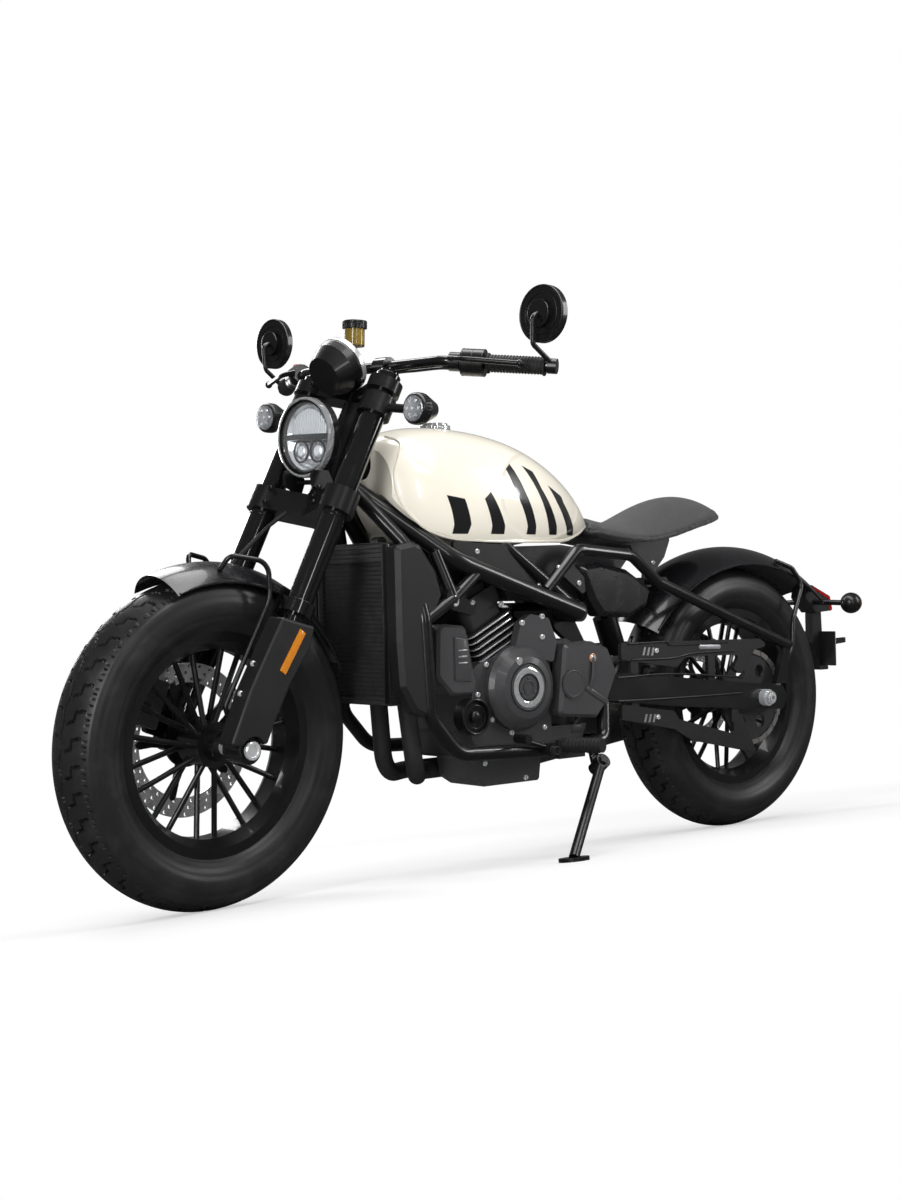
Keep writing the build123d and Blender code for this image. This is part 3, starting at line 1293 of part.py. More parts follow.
def side_stand():
    """The stand's leg from its knuckle to the foot that lies flat on the floor."""
    pivot, foot, axis = stand_points()
    half = axis * (STAND_KNUCKLE / 2)
    place = parked()
    foot_row = (place * Pos(*foot)).position
    pad = Pos(foot_row.X, foot_row.Y, STAND_PAD / 2) * Cylinder(32, STAND_PAD)
    pad = place.inverse() * pad
    ankle = (place.inverse() * Pos(foot_row.X, foot_row.Y, STAND_PAD - 1)).position
    leg = rod(pivot, ankle, 11)
    leg -= place.inverse() * Pos(foot_row.X, foot_row.Y, -20) * Box(200, 200, 40)
    knuckle = rod((pivot - half), (pivot + half), 17)
    stand = leg + knuckle + pad
    hole = rod((pivot - axis * 40), (pivot + axis * 40), STAND_PIN_RADIUS + SHAFT_FIT)
    gap_in = rod((pivot - axis * 60), (pivot - half), 22)
    gap_out = rod((pivot + half), (pivot + axis * 60), 22)
    return stand - hole - gap_in - gap_out


# Assembly

FRAME_NODES = {
    "main_frame": main_frame,
    "swingarm": swingarm,
    "rear_axle": rear_axle,
    "shock_absorber": shock_absorber,
    "drive_chain": drive_chain,
    "engine_block": engine_block,
    "engine_cylinders": engine_cylinders,
    "generator_cover": generator_cover,
    "sprocket_cover": sprocket_cover,
    "clutch_cover": clutch_cover,
    "regulator_cover": regulator_cover,
    "horn": horn,
    "radiator": radiator,
    "radiator_shrouds": radiator_shrouds,
    "fuel_tank": fuel_tank,
    "fuel_cap": fuel_cap,
    "seat": seat,
    "seat_bracket": seat_bracket,
    "side_covers": side_covers,
    "frame_panels": frame_panels,
    "airbox": airbox,
    "exhaust_headers": exhaust_headers,
    "silencer": silencer,
    "footpegs": footpegs,
    "foot_controls": foot_controls,
    "chain_guards": chain_guards,
    "fender_rails": fender_rails,
    "rear_fender": rear_fender,
    "tail_unit": tail_unit,
    "rear_signals": rear_signals,
    "rear_caliper": rear_caliper,
}
STEERING_NODES = {
    "fork_clamps": fork_clamps,
    "fork_tubes": fork_tubes,
    "fork_sliders": fork_sliders,
    "fork_covers": fork_covers,
    "front_axle": front_axle,
    "handlebar": handlebar,
    "grips": grips,
    "hand_controls": hand_controls,
    "brake_reservoir": brake_reservoir,
    "mirrors": mirrors,
    "gauge": gauge,
    "headlight": headlight,
    "headlight_bracket": headlight_bracket,
    "front_signals": front_signals,
    "front_fender": front_fender,
    "fender_stays": fender_stays,
    "front_caliper": front_caliper,
    "brake_hose": brake_hose,
}
FRONT_WHEEL_NODES = {
    "front_tyre": lambda: tyre(FRONT_AXLE, FRONT_TYRE_RADIUS, FRONT_TYRE_WIDTH, FRONT_RIM_WIDTH),
    "front_rim": lambda: rim(FRONT_AXLE, FRONT_RIM_WIDTH, FRONT_HUB_HALF),
    "front_disc": front_disc,
}
REAR_WHEEL_NODES = {
    "rear_tyre": lambda: tyre(REAR_AXLE, REAR_TYRE_RADIUS, REAR_TYRE_WIDTH, REAR_RIM_WIDTH),
    "rear_rim": lambda: rim(REAR_AXLE, REAR_RIM_WIDTH, REAR_HUB_HALF),
    "rear_disc": rear_disc,
    "rear_sprocket": rear_sprocket,
}
STAND_NODES = {"side_stand": side_stand}


def solids_of(shape):
    """A node's solids as a plain list."""
    pieces = shape if isinstance(shape, (list, tuple)) else [shape]
    return [solid for piece in pieces for solid in piece.solids()]


def build():
    """Every node's solids in the parked pose, its origin not yet centred."""
    frame, turned_front = parked(), parked() * steer_turn()
    groups = (
        (FRAME_NODES, frame),
        (STEERING_NODES, turned_front),
        (FRONT_WHEEL_NODES, turned_front),
        (REAR_WHEEL_NODES, frame),
        (STAND_NODES, frame),
    )
    return {
        name: [place * solid for solid in solids_of(make())]
        for nodes, place in groups
        for name, make in nodes.items()
    }


def middle(nodes):
    """The middle of everything's footprint."""
    boxes = [solid.bounding_box() for solids in nodes.values() for solid in solids]
    x = (min(b.min.X for b in boxes) + max(b.max.X for b in boxes)) / 2
    y = (min(b.min.Y for b in boxes) + max(b.max.Y for b in boxes)) / 2
    return x, y


def main():
    """Write one file for each node."""
    os.makedirs("parts", exist_ok=True)
    nodes = build()
    x, y = middle(nodes)
    for name, solids in nodes.items():
        moved = [Pos(-x, -y, 0) * solid for solid in solids]
        export_step(moved[0] if len(moved) == 1 else Compound(moved), f"parts/{name}.step")


if __name__ == "__main__":
    main()
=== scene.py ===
"""Looks of a bobber motorcycle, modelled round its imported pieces.

Everything is drawn upright in the machine's own frame, in millimetres: +X to the front wheel, +Y to the
rider's left, +Z up from the ground midway between the axles. What steers is drawn straight ahead. Two
matrices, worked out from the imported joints, put those shapes into the parked frame in metres.
"""

import json
import math

import bmesh
import bpy
from bpy.props import FloatProperty, FloatVectorProperty, IntProperty, PointerProperty
from mathutils import Matrix, Vector
from mathutils.bvhtree import BVHTree


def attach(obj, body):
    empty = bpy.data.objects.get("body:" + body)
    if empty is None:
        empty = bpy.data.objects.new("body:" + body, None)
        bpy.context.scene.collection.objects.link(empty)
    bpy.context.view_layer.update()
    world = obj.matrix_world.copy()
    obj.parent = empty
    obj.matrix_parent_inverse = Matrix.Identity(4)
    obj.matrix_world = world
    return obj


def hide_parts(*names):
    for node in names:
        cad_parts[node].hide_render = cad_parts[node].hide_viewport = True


bl_info = {
    "name": "Bobber Motorcycle Looks",
    "version": (1, 0, 0),
    "blender": (4, 5, 0),
    "location": "3D View > Sidebar > Motorcycle",
    "description": "Dresses the packed bobber motorcycle with its finishes and details",
    "category": "Object",
}

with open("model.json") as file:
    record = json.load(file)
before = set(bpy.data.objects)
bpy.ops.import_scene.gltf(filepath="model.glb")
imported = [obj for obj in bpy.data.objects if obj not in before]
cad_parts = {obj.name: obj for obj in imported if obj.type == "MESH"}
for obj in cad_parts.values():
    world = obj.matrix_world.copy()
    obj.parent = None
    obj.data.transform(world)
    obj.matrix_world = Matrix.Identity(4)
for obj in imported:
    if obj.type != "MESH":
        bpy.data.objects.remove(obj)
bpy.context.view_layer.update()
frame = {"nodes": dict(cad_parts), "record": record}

# The upright machine, in millimetres
WHEELBASE = 1485.0
FRONT_AXLE = Vector((WHEELBASE / 2, 0, 320))
REAR_AXLE = Vector((-WHEELBASE / 2, 0, 323))
RAKE = math.radians(27)
FORK_UP = Vector((-math.sin(RAKE), 0, math.cos(RAKE)))
FORK_AHEAD = Vector((math.cos(RAKE), 0, math.sin(RAKE)))
FORK_HALF_SPACING = 110.0
MM = 0.001

# Directions in that frame
AHEAD, ASIDE, UP = Vector((1, 0, 0)), Vector((0, 1, 0)), Vector((0, 0, 1))
SIDES = (-1, 1)

# The photograph's camera, in the upright machine's frame
CAMERA_AT = Vector((2343, 2682, 595))
CAMERA_YAW = math.radians(-129.59)
CAMERA_PITCH = math.radians(-0.25)
CAMERA_ROLL = math.radians(-1.41)
CAMERA_FOCAL_PX = 1617.0
PHOTO_HEIGHT_PX = 1200
SENSOR_MM = 36.0


# Placement in the parked frame


def joint(name):
    """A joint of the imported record."""
    return next(j for j in frame["record"]["behaviour"]["joints"] if j["name"] == name)


def parked_places():
    """Matrices from the upright machine in millimetres to the parked frame, fixed and steered."""
    across = Vector(joint("rear_wheel_spin")["axis"]).normalized()
    steer_axis = Vector(joint("steering")["axis"]).normalized()
    square = across.cross(steer_axis)
    ahead = square * math.cos(RAKE) - steer_axis * math.sin(RAKE)
    up = square * math.sin(RAKE) + steer_axis * math.cos(RAKE)
    turn = Matrix((ahead, across, up)).transposed()
    rear = Vector(joint("rear_wheel_spin")["pos_m"])
    fixed = Matrix.Translation(rear) @ turn.to_4x4() @ Matrix.Scale(MM, 4) @ Matrix.Translation(-REAR_AXLE)
    front_across = Vector(joint("front_wheel_spin")["axis"]).normalized()
    angle = math.atan2(steer_axis.dot(across.cross(front_across)), across.dot(front_across))
    pivot = Matrix.Translation(Vector(joint("steering")["pos_m"]))
    steered = pivot @ Matrix.Rotation(angle, 4, steer_axis) @ pivot.inverted() @ fixed
    return fixed, steered


FIXED, STEERED = parked_places()
PLACES = {
    "frame": FIXED, "rear_wheel": FIXED, "side_stand": FIXED, "steering": STEERED, "front_wheel": STEERED,
}


# Settings that a user would change


class FinishSettings(bpy.types.PropertyGroup):
    """Colours of the paint, plastic and metal."""

    cream: FloatVectorProperty(
        name="Tank colour", description="Pearl paint of the tank", subtype="COLOR", size=3,
        default=(0.74, 0.70, 0.60), min=0, max=1,
    )
    stripe: FloatVectorProperty(
        name="Stripe colour", description="Stripes of the tank", subtype="COLOR", size=3,
        default=(0.006, 0.006, 0.007), min=0, max=1,
    )
    black: FloatVectorProperty(
        name="Black", description="Base of all black paint", subtype="COLOR", size=3,
        default=(0.004, 0.004, 0.0043), min=0, max=1,
    )
    engine: FloatVectorProperty(
        name="Engine colour", description="Paint of the engine's covers", subtype="COLOR", size=3,
        default=(0.036, 0.036, 0.038), min=0, max=1,
    )
    leather: FloatVectorProperty(
        name="Leather colour", description="Cover of the saddle", subtype="COLOR", size=3,
        default=(0.026, 0.026, 0.027), min=0, max=1,
    )


class StudioSettings(bpy.types.PropertyGroup):
    """Strength of the studio's light."""

    top_power: FloatProperty(
        name="Top light", description="Power of the soft box overhead", default=70, min=0, unit="POWER"
    )
    side_power: FloatProperty(
        name="Side light", description="Power of the soft box beside the camera", default=50, min=0,
        unit="POWER",
    )
    rear_power: FloatProperty(
        name="Rear light", description="Power of the soft box behind the machine", default=40, min=0,
        unit="POWER",
    )
    fill: FloatProperty(name="Fill", description="Strength of the room's own light", default=0.28, min=0)


class TreadSettings(bpy.types.PropertyGroup):
    """Pattern of both tyres."""

    pitches: IntProperty(name="Pitches", description="Blocks round the tyre", default=40, min=8, max=90)
    groove_depth: FloatProperty(
        name="Groove depth", description="Depth of the grooves in millimetres", default=6.5, min=0, max=12
    )


class MotorcycleSettings(bpy.types.PropertyGroup):
    """All settings of the motorcycle."""

    finish: PointerProperty(type=FinishSettings, name="Finish", description="Colours")
    studio: PointerProperty(type=StudioSettings, name="Studio", description="Lights")
    tread: PointerProperty(type=TreadSettings, name="Tread", description="Tyre pattern")


def settings():
    """The scene's motorcycle settings."""
    return bpy.context.scene.motorcycle


# Node building


def feed(tree, socket, value):
    """Links a socket to another, or sets its value."""
    if isinstance(value, bpy.types.NodeSocket):
        tree.links.new(value, socket)
    elif socket.type == "RGBA":
        socket.default_value = (*value[:3], 1)
    else:
        socket.default_value = value


def add_node(tree, kind, inputs=None, **values):
    """A node with attributes and fed inputs."""
    node = tree.nodes.new(kind)
    for name, value in values.items():
        setattr(node, name, value)
    for name, value in (inputs or {}).items():
        feed(tree, node.inputs[name], value)
    return node


def math_node(tree, operation, *values):
    """The output of one maths node."""
    return add_node(tree, "ShaderNodeMath", dict(enumerate(values)), operation=operation).outputs[0]


def vector_node(tree, operation, *values, output=0, **inputs):
    """The output of one vector maths node."""
    inputs.update(enumerate(values))
    return add_node(tree, "ShaderNodeVectorMath", inputs, operation=operation).outputs[output]


def noise(tree, where, scale, detail, **inputs):
    """A noise node."""
    inputs.update(Vector=where, Scale=scale, Detail=detail)
    return add_node(tree, "ShaderNodeTexNoise", inputs)


def mix_colour(tree, factor, a, b):
    """A mix of two colours by a factor."""
    node = add_node(tree, "ShaderNodeMix", data_type="RGBA", clamp_factor=True)
    for index, value in ((0, factor), (6, a), (7, b)):
        feed(tree, node.inputs[index], value)
    return node.outputs[2]


def map_range(tree, value, low, high, to_low=0.0, to_high=1.0, smooth=False):
    """A value mapped from one range to another."""
    kind = "SMOOTHSTEP" if smooth else "LINEAR"
    inputs = {"Value": value, "From Min": low, "From Max": high, "To Min": to_low, "To Max": to_high}
    return add_node(tree, "ShaderNodeMapRange", inputs, interpolation_type=kind).outputs[0]


GROUPS = {}
VALUE, VECTOR = "NodeSocketFloat", "NodeSocketVector"


def shader_group(name, inputs, outputs, fill):
    """A node group built once: fill(tree, inputs) returns its outputs by name."""
    if name in GROUPS:
        return GROUPS[name]
    tree = bpy.data.node_groups.new(name, "ShaderNodeTree")
    for label, kind, default in inputs:
        socket = tree.interface.new_socket(label, in_out="INPUT", socket_type=kind)
        if default is not None:
            socket.default_value = default
    for label, kind in outputs:
        tree.interface.new_socket(label, in_out="OUTPUT", socket_type=kind)
    entry, leave = tree.nodes.new("NodeGroupInput"), tree.nodes.new("NodeGroupOutput")
    results = fill(tree, entry.outputs)
    for label, _ in outputs:
        tree.links.new(results[label], leave.inputs[label])
    GROUPS[name] = tree
    return tree


def fill_moulded_grain(tree, sockets):
    """Fine pebbled grain of moulded or textured paint, with broad tone changes."""
    where, scale = sockets["Vector"], sockets["Scale"]
    fine = noise(tree, where, scale, 3.0, Roughness=0.6)
    coarse = math_node(tree, "MULTIPLY", scale, 0.8)
    pebbles = add_node(tree, "ShaderNodeTexVoronoi", {"Vector": where, "Scale": coarse})
    broad = noise(tree, where, 7.0, 2.0, Roughness=0.5)
    height = math_node(tree, "MULTIPLY_ADD", pebbles.outputs["Distance"], 0.7, fine.outputs["Fac"])
    return {"Height": height, "Tone": broad.outputs["Fac"], "Speck": fine.outputs["Fac"]}


def moulded_grain():
    """The group for textured plastic and paint."""
    return shader_group(
        "moulded_grain", [("Vector", VECTOR, None), ("Scale", VALUE, 900.0)],
        [("Height", VALUE), ("Tone", VALUE), ("Speck", VALUE)], fill_moulded_grain,
    )


def fill_handling(tree, sockets):
    """Faint smears and dust that change how glossy a surface is."""
    where = sockets["Vector"]
    smear = noise(tree, where, 11.0, 5.0, Roughness=0.65, Distortion=0.8)
    dust = noise(tree, where, 260.0, 2.0)
    smear_mask = map_range(tree, smear.outputs["Fac"], 0.45, 0.7, smooth=True)
    dust_mask = map_range(tree, dust.outputs["Fac"], 0.56, 0.72, smooth=True)
    both = math_node(tree, "MULTIPLY_ADD", dust_mask, 0.35, smear_mask)
    spread = math_node(tree, "MULTIPLY", both, sockets["Amount"])
    return {"Roughness": math_node(tree, "ADD", spread, sockets["Base"]), "Mask": both}


def handling():
    """The group for smears and dust."""
    return shader_group(
        "handling_marks", [("Vector", VECTOR, None), ("Base", VALUE, 0.2), ("Amount", VALUE, 0.06)],
        [("Roughness", VALUE), ("Mask", VALUE)], fill_handling,
    )


def fill_hide(tree, sockets):
    """Leather: cells with creases between them, and fine pores."""
    where = sockets["Vector"]
    warp = noise(tree, where, 40.0, 2.0).outputs["Color"]
    shift = vector_node(tree, "SCALE", warp, Scale=0.006)
    moved = vector_node(tree, "MULTIPLY_ADD", where, warp, shift)
    cells = add_node(
        tree, "ShaderNodeTexVoronoi", {"Vector": moved, "Scale": sockets["Scale"]}, feature="DISTANCE_TO_EDGE"
    )
    crease = map_range(tree, cells.outputs["Distance"], 0.0, 0.16, smooth=True)
    pores = noise(tree, where, 1500.0, 2.0)
    height = math_node(tree, "MULTIPLY_ADD", pores.outputs["Fac"], 0.35, crease)
    return {"Height": height, "Crease": crease}


def hide():
    """The group for leather."""
    return shader_group(
        "leather_hide", [("Vector", VECTOR, None), ("Scale", VALUE, 330.0)],
        [("Height", VALUE), ("Crease", VALUE)], fill_hide,
    )


def fill_band(tree, sockets):
    """A slanted tapering stripe in a side view: 1 inside, between two heights."""
    parts = add_node(tree, "ShaderNodeSeparateXYZ", {0: sockets["Side View"]})
    along, height = parts.outputs[0], parts.outputs[1]
    rise = math_node(tree, "SUBTRACT", height, sockets["Foot Height"])
    run = math_node(tree, "MULTIPLY_ADD", rise, sockets["Slant"], sockets["Foot Middle"])
    slope = math_node(tree, "SUBTRACT", along, run)
    offset = math_node(tree, "ABSOLUTE", slope)
    half = math_node(tree, "MULTIPLY_ADD", rise, sockets["Taper"], sockets["Half Width"])
    inside = math_node(tree, "LESS_THAN", offset, half)
    top = math_node(tree, "MULTIPLY_ADD", slope, sockets["Top Slope"], sockets["Top Height"])
    below = math_node(tree, "LESS_THAN", height, top)
    above = math_node(tree, "GREATER_THAN", height, sockets["Foot Height"])
    mask = math_node(tree, "MULTIPLY", math_node(tree, "MULTIPLY", inside, below), above)
    return {"Mask": mask}


def band():
    """The group for one stripe of the tank, in metres of the side view."""
    names = (
        ("Foot Height", 0.71), ("Top Height", 0.85), ("Foot Middle", 0.0), ("Slant", 0.0),
        ("Half Width", 0.01), ("Taper", 0.0), ("Top Slope", 0.0),
    )
    inputs = [("Side View", VECTOR, None)] + [(name, VALUE, value) for name, value in names]
    return shader_group("tank_stripe", inputs, [("Mask", VALUE)], fill_band)


# Materials

MATERIALS = {}
RUBBER_DUST = (0.09, 0.088, 0.084)


def start_material(name):
    """A new material with its shader, tree and object coordinates."""
    material = bpy.data.materials.new(name)
    material.use_nodes = True
    tree = material.node_tree
    shader = tree.nodes["Principled BSDF"]
    where = tree.nodes.new("ShaderNodeTexCoord").outputs["Object"]
    return material, tree, shader, where


def place_group(tree, group, **inputs):
    """A group node in a material's tree."""
    named = {name.replace("_", " "): value for name, value in inputs.items()}
    node = tree.nodes.new("ShaderNodeGroup")
    node.node_tree = group
    for name, value in named.items():
        feed(tree, node.inputs[name], value)
    return node


def toned(colour, share):
    """A colour made darker or lighter by a share, held below white."""
    return tuple(min(1, c * share) for c in colour)


def bump(tree, shader, height, distance, strength=1.0):
    """A bump node that feeds the shader's normal; distance is in metres."""
    node = add_node(tree, "ShaderNodeBump", {"Strength": strength, "Distance": distance, "Height": height})
    tree.links.new(node.outputs[0], shader.inputs["Normal"])


def surface(tree, shader, where, tint, base, amount):
    """Links the tint, and a roughness that smears and dust change."""
    marks = place_group(tree, handling(), Vector=where, Base=base, Amount=amount)
    tree.links.new(tint, shader.inputs["Base Color"])
    tree.links.new(marks.outputs["Roughness"], shader.inputs["Roughness"])


def set_inputs(shader, **values):
    """Constant values on a shader's own sockets."""
    for name, value in values.items():
        socket = shader.inputs[name.replace("_", " ")]
        socket.default_value = (*value, 1) if isinstance(value, (tuple, list)) and len(value) == 3 else value


def painted(name, colour, rough, grain=0.0, depth=0.0, metallic=0.0, coat=0.0, tone=0.25, scale=900.0):
    """Paint or plastic: grain of a size and depth, smears, and a little change of tone."""
    material, tree, shader, where = start_material(name)
    texture = place_group(tree, moulded_grain(), Vector=where, Scale=scale)
    tint = mix_colour(tree, texture.outputs["Tone"], toned(colour, 1 - tone), toned(colour, 1 + tone))
    if grain:
        spot = map_range(tree, texture.outputs["Speck"], 0.5, 0.75, 0.0, grain)
        tint = mix_colour(tree, spot, tint, tuple(min(1, c * 3 + 0.05) for c in colour))
    surface(tree, shader, where, tint, rough, 0.05 + rough * 0.12)
    set_inputs(shader, Metallic=metallic, Coat_Weight=coat, Coat_Roughness=0.06, Specular_IOR_Level=0.35)
    if depth:
        bump(tree, shader, texture.outputs["Height"], depth)
    return material


def polished(name, colour, rough, streak_axis=None, streak=0.0, marks_amount=0.06, metallic=0.6):
    """Bare metal: brushed along an axis where streak is set."""
    material, tree, shader, where = start_material(name)
    tone = noise(tree, where, 30.0, 3.0)
    tint = mix_colour(tree, tone.outputs["Fac"], toned(colour, 0.82), colour)
    surface(tree, shader, where, tint, rough, marks_amount)
    set_inputs(shader, Metallic=metallic)
    if streak:
        scale = [900.0 if axis != streak_axis else 12.0 for axis in "XYZ"]
        stretched = add_node(tree, "ShaderNodeMapping", {"Vector": where, "Scale": scale})
        lines = noise(tree, stretched.outputs[0], 1.0, 2.0)
        bump(tree, shader, lines.outputs["Fac"], streak)
    return material


def rubber(name, colour, rough, depth, scale):
    """Rubber: matt, with fine pores and a little grey dust."""
    material, tree, shader, where = start_material(name)
    texture = place_group(tree, moulded_grain(), Vector=where, Scale=scale)
    marks = place_group(tree, handling(), Vector=where, Base=rough, Amount=0.1)
    dusty = math_node(tree, "MULTIPLY", marks.outputs["Mask"], 0.07)
    tint = mix_colour(tree, dusty, colour, RUBBER_DUST)
    tree.links.new(tint, shader.inputs["Base Color"])
    tree.links.new(marks.outputs["Roughness"], shader.inputs["Roughness"])
    set_inputs(shader, Specular_IOR_Level=0.35)
    bump(tree, shader, texture.outputs["Height"], depth)
    return material


def leather_material():
    """The saddle's leather, painted darker in its creases as shade."""
    colour = tuple(settings().finish.leather)
    material, tree, shader, where = start_material("saddle_leather")
    skin = place_group(tree, hide(), Vector=where, Scale=330.0)
    # Painted shade: the creases between the cells are painted darker.
    tint = mix_colour(tree, skin.outputs["Crease"], toned(colour, 0.5), colour)
    surface(tree, shader, where, tint, 0.34, 0.12)
    set_inputs(shader, Sheen_Weight=0.15, Sheen_Roughness=0.4)
    bump(tree, shader, skin.outputs["Height"], 0.0004, 0.7)
    return material


def lens(name, colour, rough=0.03, transmission=1.0):
    """Clear moulded lens or glass."""
    material, tree, shader, where = start_material(name)
    tone = noise(tree, where, 18.0, 2.0)
    tint = mix_colour(tree, tone.outputs["Fac"], toned(colour, 0.94), colour)
    surface(tree, shader, where, tint, rough, 0.03)
    set_inputs(shader, Transmission_Weight=transmission, IOR=1.45)
    return material


def turned_disc(name, centre, across, colour):
    """Ground metal with rings round an axle."""
    material, tree, shader, where = start_material(name)
    axis = tuple(across)
    away = vector_node(tree, "SUBTRACT", where, tuple(centre))
    along = vector_node(tree, "DOT_PRODUCT", away, axis, output="Value")
    lifted = vector_node(tree, "SCALE", axis, Scale=along)
    flat = vector_node(tree, "SUBTRACT", away, lifted)
    radius = vector_node(tree, "LENGTH", flat, output="Value")
    fine = math_node(tree, "MULTIPLY", radius, 900.0)
    rings = add_node(
        tree, "ShaderNodeTexNoise", {"W": fine, "Scale": 1.0, "Detail": 3.0}, noise_dimensions="1D"
    )
    tint = mix_colour(tree, rings.outputs["Fac"], toned(colour, 0.7), colour)
    surface(tree, shader, where, tint, 0.24, 0.08)
    set_inputs(shader, Metallic=0.6)
    bump(tree, shader, rings.outputs["Fac"], 0.00008)
    return material


# Pieces of the tank's five stripes in the side view, in millimetres: low z, front x and rear x there,
# front x and z of the upper end, rear x and z of the upper end
STRIPES = [
    (716, 223, 183, (225, 735), (181, 735)),
    (735, 225, 181, (249.5, 794), (208, 787)),
    (716, 119, 80.5, (123, 733), (85, 733)),
    (733, 123, 85, (158, 788), (131, 803)),
    (716, 12, -18, (16, 733), (-12, 733)),
    (733, 16, -12, (64, 806), (33, 806)),
    (806, 64, 33, (82, 853), (59, 865)),
    (716, -66, -94, (-54, 734), (-86, 734)),
    (734, -54, -86, (-6, 815), (-25, 815)),
    (815, -6, -25, (18.5, 863), (-7, 851)),
    (716, -139, -169, (-126, 734), (-160, 734)),
    (734, -126, -160, (-80, 785), (-110, 785)),
    (785, -80, -110, (-61.5, 822), (-97, 799)),
]
# Middle and half axes of the shallow recess behind the first stripes, in millimetres of the side view; the
# recess is bumped in and painted darker as shade
RECESS = (-40, 800, 148, 95)
# Spacing of the radiator's tubes and fins, in metres
TUBE_PITCH, FIN_PITCH = 0.009, 0.0022


def side_view(tree, where):
    """Object coordinates as metres in the upright machine's side view: x, z and y."""
    back = PLACES["frame"].inverted()
    rows = [back[0], back[2], back[1]]
    values = []
    for row in rows:
        turned = vector_node(tree, "DOT_PRODUCT", where, tuple(v * MM for v in row[:3]), output="Value")
        values.append(math_node(tree, "ADD", turned, row[3] * MM))
    return add_node(tree, "ShaderNodeCombineXYZ", dict(enumerate(values))).outputs[0]


def stripe_inputs(row):
    """The stripe group's inputs for one row of the table."""
    low, front, rear, (front_x, front_z), (rear_x, rear_z) = row
    middle, half = (front + rear) / 2, (front - rear) / 2
    top_middle, top_half = (front_x + rear_x) / 2, (front_x - rear_x) / 2
    top = (front_z + rear_z) / 2
    rise = top - low
    return {
        "Foot_Height": low * MM, "Top_Height": top * MM, "Foot_Middle": middle * MM,
        "Slant": (top_middle - middle) / rise, "Half_Width": half * MM, "Taper": (top_half - half) / rise,
        "Top_Slope": (front_z - rear_z) / (front_x - rear_x),
    }


def tank_paint():
    """Pearl paint with the black stripes and the shallow recess, from the side view; the recess is bumped in
    and painted darker as shade.
    """
    finish = settings().finish
    material, tree, shader, where = start_material("pearl_cream_striped")
    side = side_view(tree, where)
    mask = None
    for row in STRIPES:
        here = place_group(tree, band(), Side_View=side, **stripe_inputs(row)).outputs["Mask"]
        mask = here if mask is None else math_node(tree, "MAXIMUM", mask, here)
    flakes = add_node(tree, "ShaderNodeTexVoronoi", {"Vector": where, "Scale": 2600.0})
    pearl = map_range(tree, flakes.outputs["Distance"], 0.1, 0.6, 0.0, 0.10)
    cream = tuple(finish.cream)
    base = mix_colour(tree, pearl, cream, toned(cream, 1.15))
    x, z, long_axis, high_axis = (value * MM for value in RECESS)
    away = vector_node(tree, "SUBTRACT", side, (x, z, 0))
    scaled = vector_node(tree, "MULTIPLY", away, (1 / long_axis, 1 / high_axis, 0))
    reach = vector_node(tree, "LENGTH", scaled, output="Value")
    recess = map_range(tree, reach, 0.93, 1.03, 1.0, 0.0, smooth=True)
    # Painted shade: the cream inside the recess is darkened.
    base = mix_colour(tree, math_node(tree, "MULTIPLY", recess, 0.12), base, toned(cream, 0.72))
    colour = mix_colour(tree, mask, base, tuple(finish.stripe))
    surface(tree, shader, where, colour, 0.28, 0.04)
    set_inputs(shader, Coat_Weight=0.9, Coat_Roughness=0.05)
    bump(tree, shader, math_node(tree, "SUBTRACT", 1.0, recess), 0.004, 0.8)
    return material


def core_material():
    """The radiator's core: fine upright fins with flat tubes across, painted darker between them as shade."""
    material, tree, shader, where = start_material("radiator_core")
    side = side_view(tree, where)
    parts = add_node(tree, "ShaderNodeSeparateXYZ", {0: side})
    tubes = math_node(tree, "PINGPONG", parts.outputs[1], TUBE_PITCH / 2)
    fins = math_node(tree, "PINGPONG", parts.outputs[2], FIN_PITCH / 2)
    tube = map_range(tree, tubes, 0.0030, 0.0038, 0.0, 1.0, smooth=True)
    fin = map_range(tree, fins, 0.0, FIN_PITCH / 2, 0.0, 1.0)
    height = math_node(tree, "MAXIMUM", math_node(tree, "MULTIPLY", fin, 0.7), tube)
    # Painted shade: darker in the gaps between the fins and the tubes.
    tint = mix_colour(tree, height, (0.004, 0.004, 0.004), (0.03, 0.03, 0.032))
    surface(tree, shader, where, tint, 0.45, 0.1)
    set_inputs(shader, Metallic=0.6)
    bump(tree, shader, height, 0.0015)
    return material


